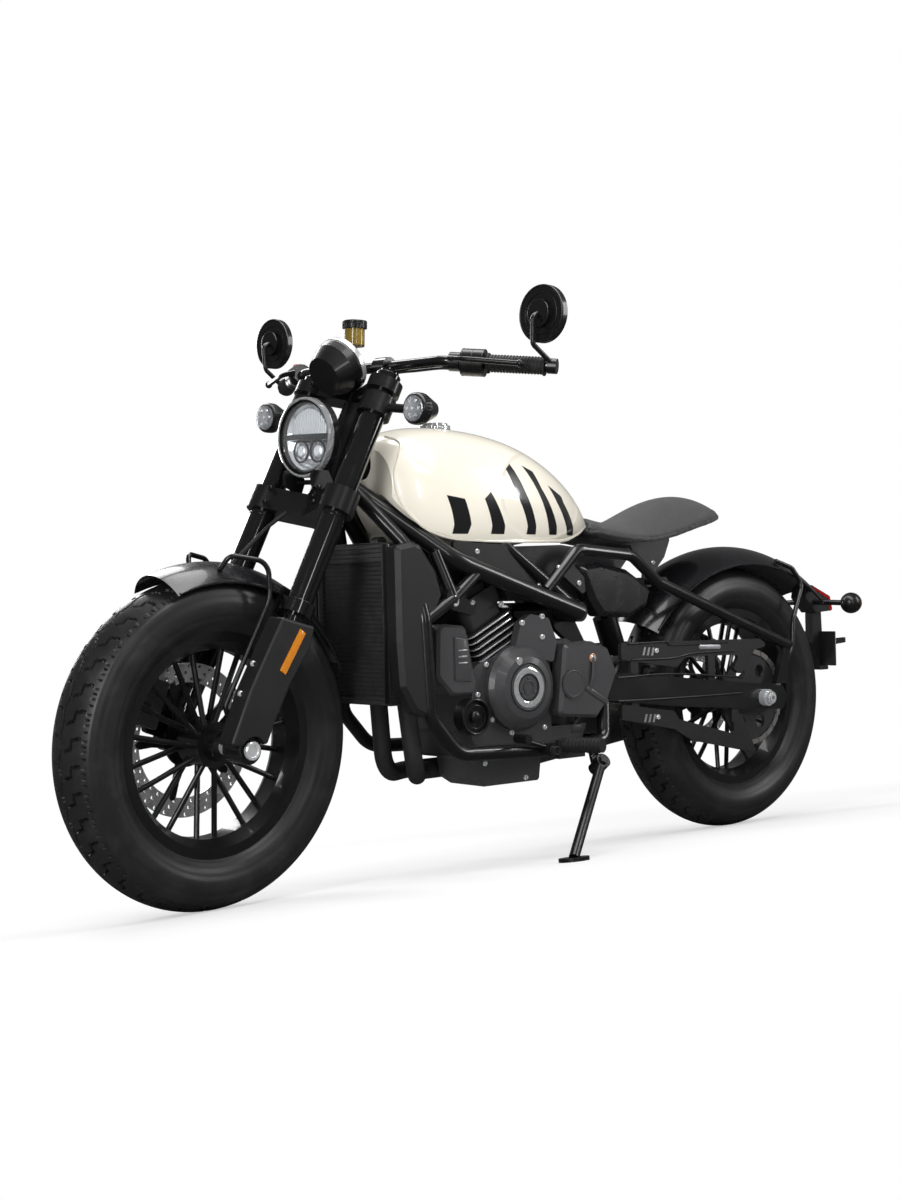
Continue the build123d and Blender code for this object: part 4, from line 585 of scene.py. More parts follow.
def build_materials():
    """Every finish of the machine, by name."""
    finish = settings().finish
    black = tuple(finish.black)
    engine = tuple(finish.engine)
    front, rear = joint("front_wheel_spin"), joint("rear_wheel_spin")
    steel = (0.56, 0.57, 0.58)
    made = {
        "frame_black": painted("satin_frame_black", black, 0.30, depth=0.00002, coat=0.35, scale=700),
        "fork_black": painted("gloss_fork_black", black, 0.12, coat=0.6, tone=0.1),
        "bar_black": painted("gloss_bar_black", black, 0.2, coat=0.5, tone=0.1),
        "black_metal": painted("satin_black_metal", black, 0.32, depth=0.00002, coat=0.2),
        "gloss_black": painted("gloss_black_paint", (0.006, 0.006, 0.007), 0.24, coat=0.3, tone=0.1),
        "textured_plastic": painted(
            "textured_black_plastic", (0.008, 0.008, 0.0083), 0.42, grain=0.2, depth=0.00009, scale=1100
        ),
        "engine_black": painted(
            "textured_engine_paint", engine, 0.40, grain=0.35, depth=0.00006, coat=0.1, metallic=0.25,
            scale=1300,
        ),
        "exhaust_black": painted("matt_exhaust_black", (0.014, 0.014, 0.014), 0.55, depth=0.00004, scale=600),
        "caliper_metal": painted("caliper_grey", (0.018, 0.018, 0.019), 0.40, grain=0.2, depth=0.00005),
        "rim_black": painted("satin_rim_black", black, 0.28, depth=0.00001, coat=0.4),
        "silver_paint": painted("silver_satin_paint", (0.36, 0.36, 0.37), 0.34, metallic=0.75, depth=0.00002),
        "fin_metal": painted("fin_black", (0.012, 0.012, 0.013), 0.45, depth=0.00004),
        "fin_edge": polished("polished_fin_edge", (0.80, 0.81, 0.82), 0.16, "X", 0.00003),
        "steel": polished("turned_steel", steel, 0.28, "Y", 0.00003),
        "chain_steel": polished("oiled_chain_steel", (0.20, 0.19, 0.18), 0.42),
        "chrome": polished("polished_chrome", (0.84, 0.85, 0.86), 0.08, marks_amount=0.03, metallic=0.8),
        "bolt_steel": polished("bolt_steel", (0.72, 0.73, 0.74), 0.18),
        "copper": polished("copper_washer", (0.80, 0.42, 0.24), 0.3),
        "rubber": rubber("black_rubber", (0.009, 0.009, 0.009), 0.55, 0.00006, 800),
        "tyre": rubber("tyre_rubber", (0.010, 0.010, 0.0103), 0.38, 0.00004, 600),
        "leather": leather_material(),
        "lamp_glass": lens("clear_lens", (0.96, 0.98, 1.0)),
        "reflector": polished("bright_reflector", (0.86, 0.87, 0.88), 0.08),
        "mirror_glass": polished("mirror_glass", (0.9, 0.91, 0.92), 0.02, marks_amount=0.01, metallic=1.0),
        "amber_lens": lens("amber_lens", (0.95, 0.33, 0.03), 0.08, 0.55),
        "red_lens": lens("red_lens", (0.55, 0.01, 0.01), 0.08, 0.5),
        "fluid_amber": lens("amber_fluid", (0.40, 0.27, 0.05), 0.10, 0.5),
        "gauge_face": painted("dark_gauge_face", (0.01, 0.011, 0.013), 0.1, coat=1.0, tone=0.05),
        "red_button": painted("red_button", (0.45, 0.01, 0.01), 0.3, tone=0.05),
        "disc_front": turned_disc("ground_disc_front", front["pos_m"], front["axis"], (0.62, 0.62, 0.63)),
        "disc_rear": turned_disc("ground_disc_rear", rear["pos_m"], rear["axis"], (0.62, 0.62, 0.63)),
        "cream_paint": tank_paint(),
        "radiator_core": core_material(),
        "tank_rim": painted("pearl_cream_plain", tuple(finish.cream), 0.25, coat=0.9, tone=0.03),
        "stitch": painted("grey_thread", (0.10, 0.10, 0.10), 0.7, tone=0.1),
    }
    made["disc_steel"] = made["disc_rear"]
    MATERIALS.update(made)


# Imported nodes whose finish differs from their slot's
NODE_FINISHES = {
    "front_disc": "disc_front", "radiator": "radiator_core", "seat_bracket": "caliper_metal",
    "rear_sprocket": "caliper_metal", "brake_reservoir": "black_metal", "front_signals": "black_metal",
}


def dress_nodes():
    """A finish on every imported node, by the record's slot."""
    slots = {row["node"]: row["material_slot"] for row in frame["record"]["subparts"]}
    for name, node in frame["nodes"].items():
        finish = NODE_FINISHES.get(name, slots[name])
        node.data.materials.clear()
        node.data.materials.append(MATERIALS[finish])


# Outlines and paths, in the upright machine's millimetres


def circle_points(radius, count, start_deg=0.0):
    """Points round a circle."""
    angles = [math.radians(start_deg) + 2 * math.pi * k / count for k in range(count)]
    return [(radius * math.cos(a), radius * math.sin(a)) for a in angles]


def oblong(half_long, half_high):
    """A rectangle's outline round its middle."""
    signs = ((-1, -1), (1, -1), (1, 1), (-1, 1))
    return [(half_long * a, half_high * b) for a, b in signs]


def ribbed(radius, ribs, depth):
    """A round outline with ribs."""
    shares = [1 - depth / radius * (k % 4 > 1) for k in range(4 * ribs)]
    return [(x * share, y * share) for (x, y), share in zip(circle_points(radius, 4 * ribs), shares)]


def both_sides(point):
    """A point and its image on the machine's other side."""
    x, y, z = point
    return [Vector((x, y, z)), Vector((x, -y, z))]


def fork_at(along, aside=0.0, ahead=0.0):
    """A point on a fork leg's line, along it from the axle, aside and ahead."""
    return FRONT_AXLE + FORK_UP * along + FORK_AHEAD * ahead + Vector((0, aside, 0))


def arc_points(centre, radius, y, first_deg, last_deg, steps):
    """Points along an arc in the side view."""
    angles = [math.radians(first_deg + (last_deg - first_deg) * k / steps) for k in range(steps + 1)]
    return [Vector((centre[0] + radius * math.cos(a), y, centre[1] + radius * math.sin(a))) for a in angles]


def smooth_path(points, steps=8):
    """Points along a smooth curve through the given ones."""
    points = [Vector(p) for p in points]
    padded = [points[0] * 2 - points[1]] + points + [points[-1] * 2 - points[-2]]
    result = []
    for index in range(1, len(padded) - 2):
        p0, p1, p2, p3 = padded[index - 1: index + 3]
        for step in range(steps):
            t = step / steps
            result.append(
                0.5 * (2 * p1 + (p2 - p0) * t + (2 * p0 - 5 * p1 + 4 * p2 - p3) * t**2
                       + (3 * p1 - p0 - 3 * p2 + p3) * t**3)
            )
    return result + [points[-1]]


# Shapes, drawn into a bmesh in the upright machine's millimetres


def add_object(name, data):
    """An object in the scene."""
    made = bpy.data.objects.new(name, data)
    bpy.context.scene.collection.objects.link(made)
    return made


def finish_piece(name, bm, body, material, slot, sharp_deg=32.0, replaces=()):
    """The bmesh as a finished object at the origin, riding on a body."""
    bmesh.ops.transform(bm, matrix=PLACES[body], verts=bm.verts)
    bmesh.ops.recalc_face_normals(bm, faces=bm.faces)
    limit = math.radians(sharp_deg)
    for face in bm.faces:
        face.smooth = True
    for edge in bm.edges:
        edge.smooth = edge.calc_face_angle(0.0) < limit
    mesh = bpy.data.meshes.new(name)
    bm.to_mesh(mesh)
    bm.free()
    piece = add_object(name, mesh)
    mesh.materials.append(MATERIALS[material])
    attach(piece, body)
    if replaces:
        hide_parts(*replaces)
    return piece


def piece(name, body, material, slot, build, *args, **options):
    """A finished piece from a function that fills a bmesh."""
    bm = bmesh.new()
    build(bm, *args)
    return finish_piece(name, bm, body, material, slot, **options)


def verts_of(geom):
    """The vertices among some geometry."""
    return [v for v in geom if isinstance(v, bmesh.types.BMVert)]


def faces_of(geom):
    """The faces among some geometry."""
    return [f for f in geom if isinstance(f, bmesh.types.BMFace)]


def everything(bm):
    """All geometry of a bmesh, for an operator."""
    return bm.verts[:] + bm.edges[:] + bm.faces[:]


def turn_to(direction):
    """A rotation that takes +Z to a direction."""
    return Vector(direction).to_track_quat("Z", "Y").to_matrix().to_4x4()


def rounded(bm, edges, offset):
    """A bevel with the editor's values."""
    bmesh.ops.bevel(
        bm, geom=edges, offset=offset, offset_type="OFFSET", segments=2, profile=0.5, affect="EDGES",
        clamp_overlap=True, material=-1,
    )


def add_rod(bm, a, b, radius, segments=20, soft=0.0):
    """A round bar from a to b; soft rounds its ends."""
    a, b = Vector(a), Vector(b)
    made = bmesh.ops.create_cone(
        bm, cap_ends=True, cap_tris=False, segments=segments, radius1=radius, radius2=radius,
        depth=(b - a).length, matrix=Matrix.Translation((a + b) / 2) @ turn_to(b - a),
    )
    if soft:
        around = {e for v in made["verts"] for e in v.link_edges}
        rounded(bm, [e for e in around if any(len(f.verts) > 4 for f in e.link_faces)], soft)


def add_lathe(bm, profile, centre, axis, segments=48):
    """A turned shape: profile points are (radius, height along the axis); 0 radius closes a pole."""
    points = [bm.verts.new((radius, 0, height)) for radius, height in profile]
    edges = [bm.edges.new(pair) for pair in zip(points, points[1:])]
    made = bmesh.ops.spin(
        bm, geom=points + edges, cent=(0, 0, 0), axis=(0, 0, 1), angle=2 * math.pi, steps=segments,
        use_merge=True, use_duplicate=False,
    )
    seen, queue = {}, points + verts_of(made["geom_last"])
    while queue:
        vert = queue.pop()
        if vert not in seen and vert.is_valid:
            seen[vert] = True
            queue += [e.other_vert(vert) for e in vert.link_edges]
    bmesh.ops.remove_doubles(bm, verts=list(seen), dist=0.0005)
    verts = [v for v in seen if v.is_valid]
    bmesh.ops.transform(bm, matrix=Matrix.Translation(Vector(centre)) @ turn_to(axis), verts=verts)


def add_plate(bm, outline, y_low, y_high, soft=0.0):
    """A flat plate standing fore and aft: outline points are (x, z)."""
    face = bm.faces.new([bm.verts.new((x, y_low, z)) for x, z in outline])
    made = bmesh.ops.extrude_face_region(bm, geom=[face])
    bmesh.ops.translate(bm, vec=(0, y_high - y_low, 0), verts=verts_of(made["geom"]))
    if soft:
        rounded(bm, [e for f in faces_of(made["geom"]) for e in f.edges], soft)


def add_box(bm, low, high, soft=0.0):
    """A box between two corners."""
    low, high = Vector(low), Vector(high)
    place = Matrix.Translation((low + high) / 2) @ Matrix.Diagonal((*(high - low), 1))
    made = bmesh.ops.create_cube(bm, size=1.0, matrix=place)
    if soft:
        rounded(bm, list({e for v in made["verts"] for e in v.link_edges}), soft)


def add_bolt(bm, at, direction, radius=6.0, height=5.0):
    """A button head with a socket."""
    hole = radius * 0.48
    profile = [
        (0, height * 0.35), (hole, height * 0.35), (hole, height), (radius * 0.7, height),
        (radius * 0.93, height * 0.72), (radius, height * 0.3), (radius, -1), (0, -1),
    ]
    add_lathe(bm, profile, at, direction, segments=12)


def mirrored(bm):
    """Adds the mirror image on the machine's other side."""
    copy = bmesh.ops.duplicate(bm, geom=everything(bm))["geom"]
    bmesh.ops.scale(bm, vec=(1, -1, 1), verts=verts_of(copy))
    bmesh.ops.reverse_faces(bm, faces=faces_of(copy))


def add_sweep(bm, points, radius, segments=12, closed=False):
    """A tube along points, square to the path at each, with closed ends."""
    points = [Vector(p) for p in points]
    count = len(points)
    rings = []
    up = None
    for index, point in enumerate(points):
        before = points[index - 1] if index or closed else point
        after = points[(index + 1) % count] if index < count - 1 or closed else point
        direction = (after - before).normalized()
        up = direction.orthogonal() if up is None else up
        up = (up - direction * up.dot(direction)).normalized()
        side = direction.cross(up)
        spots = [point + up * a + side * b for a, b in circle_points(radius, segments)]
        ring = [bm.verts.new(spot) for spot in spots]
        rings.append([bm.edges.new(pair) for pair in zip(ring, ring[1:] + ring[:1])])
    pairs = list(zip(rings, rings[1:])) + ([(rings[-1], rings[0])] if closed else [])
    for first, second in pairs:
        bmesh.ops.bridge_loops(bm, edges=first + second)
    if not closed:
        for ring in (rings[0], rings[-1]):
            bmesh.ops.contextual_create(bm, geom=ring)


def add_prism(bm, outline, centre, axis, low, high, soft=0.0):
    """A straight prism: outline points lie square to the axis."""
    place = Matrix.Translation(Vector(centre)) @ turn_to(axis)
    face = bm.faces.new([bm.verts.new(place @ Vector((a, b, low))) for a, b in outline])
    made = bmesh.ops.extrude_face_region(bm, geom=[face])["geom"]
    bmesh.ops.translate(bm, vec=place.to_3x3() @ Vector((0, 0, high - low)), verts=verts_of(made))
    if soft:
        rounded(bm, [e for f in faces_of(made) for e in f.edges], soft)


def add_ring(bm, centre, axis, radius, thick, low=0.0, segments=48):
    """A ring of round section."""
    profile = [(radius + a, low + b) for a, b in circle_points(thick, 8)]
    add_lathe(bm, profile + profile[:1], centre, axis, segments)


def add_rings(bm, centre, axis, rows):
    """Rings round one axis: radius, thickness, height and segments of each."""
    for row in rows:
        add_ring(bm, centre, axis, *row)


# Wheels

CROWN_CENTRE = 230.0
BEAD_RADIUS, WALL_FOOT_RADIUS = 206.0, 216.3
# Axle, outer radius, width and rim width
TYRES = {"front": (FRONT_AXLE, 320.0, 130.0, 88.0), "rear": (REAR_AXLE, 323.0, 150.0, 100.0)}
STEPS_PER_PITCH = 20


def arc_through(a, b, c, count):
    """Points along the circle through three points, from the first to the last."""
    (ax, ay), (bx, by), (cx, cy) = a, b, c
    d = 2 * (ax * (by - cy) + bx * (cy - ay) + cx * (ay - by))
    aa, bb, cc = ax * ax + ay * ay, bx * bx + by * by, cx * cx + cy * cy
    ux = (aa * (by - cy) + bb * (cy - ay) + cc * (ay - by)) / d
    uy = (aa * (cx - bx) + bb * (ax - cx) + cc * (bx - ax)) / d
    first, last = math.atan2(ay - uy, ax - ux), math.atan2(cy - uy, cx - ux)
    size = math.hypot(ax - ux, ay - uy)
    angles = [first + (last - first) * k / count for k in range(count + 1)]
    return [(ux + size * math.cos(t), uy + size * math.sin(t)) for t in angles]


def slot_depth(distance, half):
    """1 in the middle of a groove, 0 past its edge."""
    return max(0.0, min(1.0, half - abs(distance) + 0.5))


def tread_cut(u, t, pitch):
    """How deep the tread is cut, 0 to 1: u in pitches round the tyre, t in mm across it.

    A winding groove runs round the middle. Each half has slanted slots near it, a short groove that joins
    their ends, slanted slots on the shoulder, and fine sipes at the edge. The halves are half a pitch apart.
    """
    side = abs(t)
    cut = slot_depth(t - 2.6 * math.sin(2 * math.pi * u), 2.4)
    v = u + (0.5 if t < 0 else 0.0)

    def along(place):
        return ((v - place + 0.5) % 1.0 - 0.5) * pitch

    if 9 < side < 29:
        cut = max(cut, slot_depth(along(0.25 + 0.008 * (side - 10)), 2.2))
    if 25.5 < side < 30.5 and -1.5 < along(0.39) < 0.34 * pitch:
        cut = max(cut, slot_depth(side - 28, 2.0))
    if 27 < side < 47:
        cut = max(cut, slot_depth(along(0.71 + 0.005 * (side - 28)), 2.2))
    if 50 < side < 58:
        nearest = min(abs(along(0.06 + 0.22 * k)) for k in range(4))
        cut = max(cut, 0.45 * slot_depth(nearest, 1.0))
    return cut


def repeat_round(bm, count, merge):
    """Repeats one sector round the axle and joins the sectors."""
    bmesh.ops.spin(
        bm, geom=everything(bm), cent=(0, 0, 0), axis=(0, 1, 0), angle=2 * math.pi * (count - 1) / count,
        steps=count - 1, use_duplicate=True, use_merge=False,
    )
    bmesh.ops.remove_doubles(bm, verts=bm.verts, dist=merge)


def add_tyre(bm, axle, radius, width, rim_width):
    """A tyre with grooves, ringed walls and beads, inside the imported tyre's outline."""
    tread = settings().tread
    crown = radius - CROWN_CENTRE
    shoulder = 0.45 * width
    half = math.asin(shoulder / crown)
    edge = CROWN_CENTRE + crown * math.cos(half)
    count = round(half * crown / 1.15)
    top = [half * (2 * k / count - 1) for k in range(count + 1)]
    top = [(math.sin(a) * crown, CROWN_CENTRE + math.cos(a) * crown) for a in top]
    middle = (width / 2, 203 + (radius - 203) * 0.42)
    wall = arc_through((shoulder, edge), middle, (rim_width / 2, WALL_FOOT_RADIUS), 22)[1:]
    wall = [(w - (0.9 if k in (3, 4, 12, 13, 18) else 0.0), r) for k, (w, r) in enumerate(wall)]
    side = wall + [(rim_width / 2 - 4, BEAD_RADIUS)]
    profile = [(-w, r) for w, r in reversed(side)] + top + side
    points = [bm.verts.new((r, w, 0)) for w, r in profile]
    edges = [bm.edges.new(pair) for pair in zip(points, points[1:] + points[:1])]
    turn = 2 * math.pi / tread.pitches
    bmesh.ops.spin(
        bm, geom=points + edges, cent=(0, 0, 0), axis=(0, 1, 0), angle=-turn, steps=STEPS_PER_PITCH,
        use_merge=False, use_duplicate=False,
    )
    pitch = turn * radius
    for vert in bm.verts:
        x, y, z = vert.co
        r = math.hypot(x, z)
        if r < edge - 1:
            continue
        u = math.atan2(z, x) / turn
        t = math.asin(max(-1, min(1, y / crown))) * crown
        keep = 1 - tread.groove_depth * tread_cut(u, t, pitch) / crown
        new = CROWN_CENTRE + (r - CROWN_CENTRE) * keep
        vert.co = (x * new / r, y * keep, z * new / r)
    repeat_round(bm, tread.pitches, 0.02)
    bmesh.ops.translate(bm, vec=axle, verts=bm.verts)


def add_drilled_disc(bm, axle, y_low, y_high, outer, inner, sectors):
    """A brake disc's drilled ring, of three rows of holes."""
    rows, parts, hole = 3, 6, 3.6
    turn = 2 * math.pi / sectors

    def polar(r, a):
        return Vector((r * math.cos(a), 0, r * math.sin(a)))

    for row in range(rows):
        low = inner + (outer - inner) * row / rows
        high = inner + (outer - inner) * (row + 1) / rows
        start = turn * row / rows
        rim = [polar(low, start + turn * k / parts) for k in range(parts + 1)]
        rim += [polar(high, start + turn * (parts - k) / parts) for k in range(parts + 1)]
        centre = polar((low + high) / 2, start + turn / 2)
        loops = []
        for points in (rim, [centre + (p - centre).normalized() * hole for p in rim]):
            verts = [bm.verts.new(p) for p in points]
            loops += [bm.edges.new(pair) for pair in zip(verts, verts[1:] + verts[:1])]
        bmesh.ops.bridge_loops(bm, edges=loops)
    repeat_round(bm, sectors, 0.01)
    made = bmesh.ops.extrude_face_region(bm, geom=bm.faces[:])["geom"]
    bmesh.ops.translate(bm, vec=ASIDE * (y_high - y_low), verts=verts_of(made))
    bmesh.ops.translate(bm, vec=axle + ASIDE * y_low, verts=bm.verts)


def add_disc_carrier(bm, axle, y_low, y_high, inner, carrier, bore):
    """The five-armed carrier of a brake disc."""
    thick = y_high - y_low
    for k in range(5):
        a = math.radians(72 * k)
        outline = [
            (inner + 3, 0.08), ((inner + carrier) / 2, 0.09), (carrier - 6, 0.26),
            (carrier - 6, -0.26), ((inner + carrier) / 2, -0.09), (inner + 3, -0.08),
        ]
        points = [(r * math.cos(a + shift), r * math.sin(a + shift)) for r, shift in outline]
        add_plate(bm, points, 0.4, thick - 0.4)
        spot = Vector(((inner + 1) * math.cos(a), 0, (inner + 1) * math.sin(a)))
        add_rod(bm, spot - ASIDE, spot + ASIDE * (thick + 1), 6.5, 16)
    profile = [(bore, 0), (carrier, 0), (carrier, thick), (bore, thick), (bore, 0)]
    add_lathe(bm, profile, (0, 0, 0), ASIDE)
    bmesh.ops.translate(bm, vec=axle + ASIDE * y_low, verts=bm.verts)


def add_wheel_trim(bm, axle, half_width):
    """Lip rings, a valve and hub bolts."""
    for side in SIDES:
        add_ring(bm, axle, ASIDE * side, 214.0, 2.4, half_width - 2.4, 96)
        for x, z in circle_points(36, 5, 36):
            add_bolt(bm, axle + Vector((x, side * half_width * 0.5, z)), ASIDE * side, 5, 6)
    add_rod(bm, axle + Vector((150, 0, 96)), axle + Vector((128, 0, 82)), 4, 12, soft=0.8)


# Each brake disc: end, low and high y, outer and inner radius, holes' sectors
DISCS = (("front", -64, -59, 150, 112, 36), ("rear", -78, -73, 120, 84, 30))
CARRIER_RADIUS, CARRIER_BORE = 52.0, 30.3


def build_wheels():
    """Tyres with tread, rim trim, drilled discs and their carriers."""
    for end, (axle, radius, width, rim_width) in TYRES.items():
        body = f"{end}_wheel"
        piece(
            f"{end}_tyre_tread", body, "tyre", "tyre", add_tyre, axle, radius, width, rim_width,
            sharp_deg=30, replaces=(f"{end}_tyre",),
        )
        piece(f"{end}_rim_trim", body, "rim_black", "rim_black", add_wheel_trim, axle, rim_width / 2)
    for end, low, high, outer, inner, sectors in DISCS:
        piece(
            f"{end}_disc_drilled", f"{end}_wheel", f"disc_{end}", "disc_steel", add_drilled_disc,
            TYRES[end][0], low, high, outer, inner, sectors, replaces=(f"{end}_disc",),
        )
    for end, low, high, _, inner, _ in DISCS:
        piece(
            f"{end}_disc_carrier", f"{end}_wheel", "black_metal", "black_metal", add_disc_carrier,
            TYRES[end][0], low, high, inner, CARRIER_RADIUS, CARRIER_BORE,
        )


# Tank and saddle

TANK_LIP = [
    (317, 37, 919), (310, 76, 903.5), (328, 95, 873), (342, 99, 841.5), (343, 104, 807), (331, 111, 773),
    (307, 118, 745), (270, 120, 723), (216, 121, 709), (150, 121, 705), (77, 117, 703), (0, 112, 703),
    (-80, 98, 704), (-140, 83, 706), (-200, 62, 722), (-243, 40, 738),
]


def add_tank_lip(bm):
    """The raised lip round the tank's face and along its foot."""
    add_sweep(bm, smooth_path(TANK_LIP, 6), 4.6, 10)
    mirrored(bm)


def add_fuel_cap(bm):
    """The knurled cap and its turned top."""
    foot = Vector((157, 0, 930))
    add_prism(bm, ribbed(34.6, 36, 1.3), foot, UP, 6, 19, 1.0)
    add_lathe(bm, [(0, 28), (16, 28), (20, 27.4), (28.5, 26.4), (28.5, 18), (0, 18)], foot, UP, 64)


# x, half width and height along the saddle's upper edge
SADDLE_EDGE = [
    (-226, 66, 729), (-260, 82, 728), (-320, 108, 717), (-380, 128, 712), (-440, 138, 722), (-500, 142, 738),
    (-556, 134, 751), (-610, 118, 762), (-640, 90, 769),
]
DISH_X, DISH_REACH = -470.0, 70.0
STITCH_PITCH, STITCH_RADIUS = 5.2, 0.7


def remeshed(node, voxel):
    """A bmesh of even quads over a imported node, in its own metres."""
    bm = bmesh.new()
    bm.from_mesh(node.data)
    bmesh.ops.remove_doubles(bm, verts=bm.verts, dist=0.00001)
    raw = bpy.data.meshes.new("saddle_raw")
    bm.to_mesh(raw)
    bm.free()
    working = add_object("saddle_working", raw)
    remesh = working.modifiers.new("voxels", "REMESH")
    remesh.mode, remesh.voxel_size, remesh.use_smooth_shade = "VOXEL", voxel, True
    graph = bpy.context.evaluated_depsgraph_get()
    even = bpy.data.meshes.new_from_object(working.evaluated_get(graph))
    bpy.data.objects.remove(working)
    bm = bmesh.new()
    bm.from_mesh(even)
    return bm


def crown_and_dish(bm):
    """Lifts the saddle's top a little, and presses in where the rider sits."""
    for _ in range(7):
        bmesh.ops.smooth_vert(
            bm, verts=bm.verts, factor=0.5, use_axis_x=True, use_axis_y=True, use_axis_z=True
        )
    bm.normal_update()
    for vert in bm.verts:
        x, y, _ = vert.co
        if vert.normal.z > 0.2:
            dish = math.exp(-(((x - DISH_X) / DISH_REACH) ** 2) - (y / DISH_REACH) ** 2)
            vert.co += vert.normal * (1.6 - 2.2 * dish)


def add_stitches(bm, tree, row, back):
    """Stitches dropped onto the saddle under a row of points."""
    down = (FIXED.to_3x3() @ -UP).normalized()
    hits = [tree.ray_cast(FIXED @ point, down)[0] for point in row]
    hits = [back @ hit for hit in hits if hit]
    due, walked = 0.0, 0.0
    for a, b in zip(hits, hits[1:]):
        walked += (b - a).length
        if walked > due:
            due += STITCH_PITCH
            middle, half = a + UP * 0.4, (b - a).normalized() * 1.7
            add_rod(bm, middle - half, middle + half, STITCH_RADIUS, 6)


def build_saddle():
    """The saddle as a crowned cushion with piping and two rows of stitches."""
    back = FIXED.inverted()
    bm = remeshed(frame["nodes"]["seat"], 0.005)
    bmesh.ops.transform(bm, matrix=back, verts=bm.verts)
    crown_and_dish(bm)
    cushion = finish_piece(
        "saddle_cushion", bm, "frame", "leather", "leather", sharp_deg=60, replaces=("seat",)
    )
    smooth = cushion.modifiers.new("subdivision", "SUBSURF")
    smooth.levels = smooth.render_levels = 1
    bm = bmesh.new()
    bm.from_mesh(cushion.data)
    tree = BVHTree.FromBMesh(bm)
    bm.free()
    trim, thread = bmesh.new(), bmesh.new()
    for side in SIDES:
        edge = smooth_path([(x, side * half, top) for x, half, top in SADDLE_EDGE], 20)
        snapped = [back @ tree.find_nearest(FIXED @ point)[0] for point in edge]
        add_sweep(trim, [point - Vector((0, side * 3.5, 5)) for point in snapped], 5.5, 12)
        for inset in (7, 13):
            above = Vector((0, -side * inset, 40))
            add_stitches(thread, tree, [point + above for point in edge], back)
    finish_piece("saddle_piping", trim, "frame", "leather", "leather", sharp_deg=60)
    finish_piece("saddle_stitches", thread, "frame", "stitch", "leather", sharp_deg=60)


# Front end

BAR_BEND, BAR_END = Vector((326, 205, 1066)), Vector((217, 405, 1052))
SIGNAL, MIRROR = Vector((410, 226, 966)), Vector((248, 406, 1150))
LAMP, LAMP_LENS = Vector((502, 0, 913)), Vector((0, 25, -27))
GAUGE, GAUGE_WAY = Vector((398, 0, 1068)), Vector((-0.87, 0, 0.49)).normalized()
POT = Vector((290, -88, 1142))


def add_bowl(bm):
    """The headlight's bowl with the hollow that holds the reflector."""
    profile = [
        (0, -62), (26, -57), (54, -42), (70, -30), (76, -24), (80, -24), (80, 3), (79, 4), (75, 4), (74, 3),
        (74, -4), (60, -22), (34, -38), (0, -48),
    ]
    add_lathe(bm, profile, LAMP, AHEAD, 72)


def add_lamp_inside(bm):
    """The reflector's skin, its two lower domes and its upper flutes."""
    skin = [(0, -45), (33, -35), (58, -20), (70, -8), (71, -7), (60, -23), (34, -37.5), (0, -47)]
    add_lathe(bm, skin, LAMP, AHEAD, 64)
    dome = [(0, 14), (8, 13), (15, 8), (19, 0), (19, -20), (0, -20)]
    for lens_at in both_sides(LAMP_LENS):
        add_lathe(bm, dome, LAMP + lens_at - AHEAD * 22, AHEAD, 32)
    for k in range(-8, 9):
        aside = k * 6.4
        foot, top = Vector((-14, aside, 8)), Vector((-14, aside, math.sqrt(58**2 - aside**2)))
        add_rod(bm, LAMP + foot, LAMP + top, 2.6, 8)


def add_lamp_bar(bm):
    """The black bar across the lamp and the mask round its lower lenses."""
    add_box(bm, LAMP + Vector((-18, -68, -5)), LAMP + Vector((-5, 68, 7)), 1.5)
    for lens_at in both_sides(LAMP_LENS):
        add_ring(bm, LAMP + lens_at - AHEAD * 14, AHEAD, 21.5, 2.2, 0, 32)
    add_lathe(bm, [(66, -10), (73.6, -4), (73.6, 0.8), (71, 1.4), (66, -6), (66, -10)], LAMP, AHEAD, 72)


def add_lamp_glass(bm):
    """The domed front glass."""
    profile = [(0, 7), (30, 6), (55, 3.6), (72.5, 0.4), (72.5, -2), (55, 1.4), (30, 3.8), (0, 4.8)]
    add_lathe(bm, profile, LAMP, AHEAD, 64)


def add_lamp_ring(bm):
    """The bright ring round the lamp's mouth."""
    profile = [
        (80.6, -8), (80.9, -2), (80, 4), (77.5, 5.4), (75, 4.6), (74.2, 2), (75, 1), (79, -8), (80.6, -8),
    ]
    add_lathe(bm, profile, LAMP, AHEAD, 96)


def add_signal_lenses(bm):
    """Domed lenses of the front signals."""
    for at in both_sides(SIGNAL):
        add_lathe(bm, [(0, 17), (12, 16.4), (21, 14.4), (26.5, 10.6), (26.5, 9.6), (0, 9.6)], at, AHEAD, 40)


def add_signal_cells(bm):
    """Seven bright cells behind each front lens."""
    cell = [(0, 14.0), (2.4, 13.4), (4.4, 11), (4.4, 10), (0, 10)]
    for at in both_sides(SIGNAL):
        for y, z in [(0, 0)] + circle_points(15, 6):
            add_lathe(bm, cell, at + Vector((0, y, z)), AHEAD, 14)


def add_signal_backs(bm):
    """Silver backs behind the front lenses."""
    for at in both_sides(SIGNAL):
        add_lathe(bm, [(0, 10.8), (25, 10.8), (26, 9.4), (0, 9.4)], at, AHEAD, 40)


def add_signal_rims(bm):
    """Ribbed rims of the front signals."""
    lip = [(26.2, 10), (26.2, 5), (31.4, 5), (30.8, 7.4), (28, 10.6), (26.2, 10)]
    for at in both_sides(SIGNAL):
        add_prism(bm, ribbed(31.7, 30, 0.9), at, AHEAD, -9, 3, 0.4)
        add_lathe(bm, lip, at, AHEAD, 48)


def add_mirror_glass(bm):
    """Glass on the mirrors' rear faces."""
    for at in both_sides(MIRROR):
        add_lathe(bm, [(0, 8), (50, 7.6), (51, 6.8), (0, 6.8)], at, -AHEAD, 64)


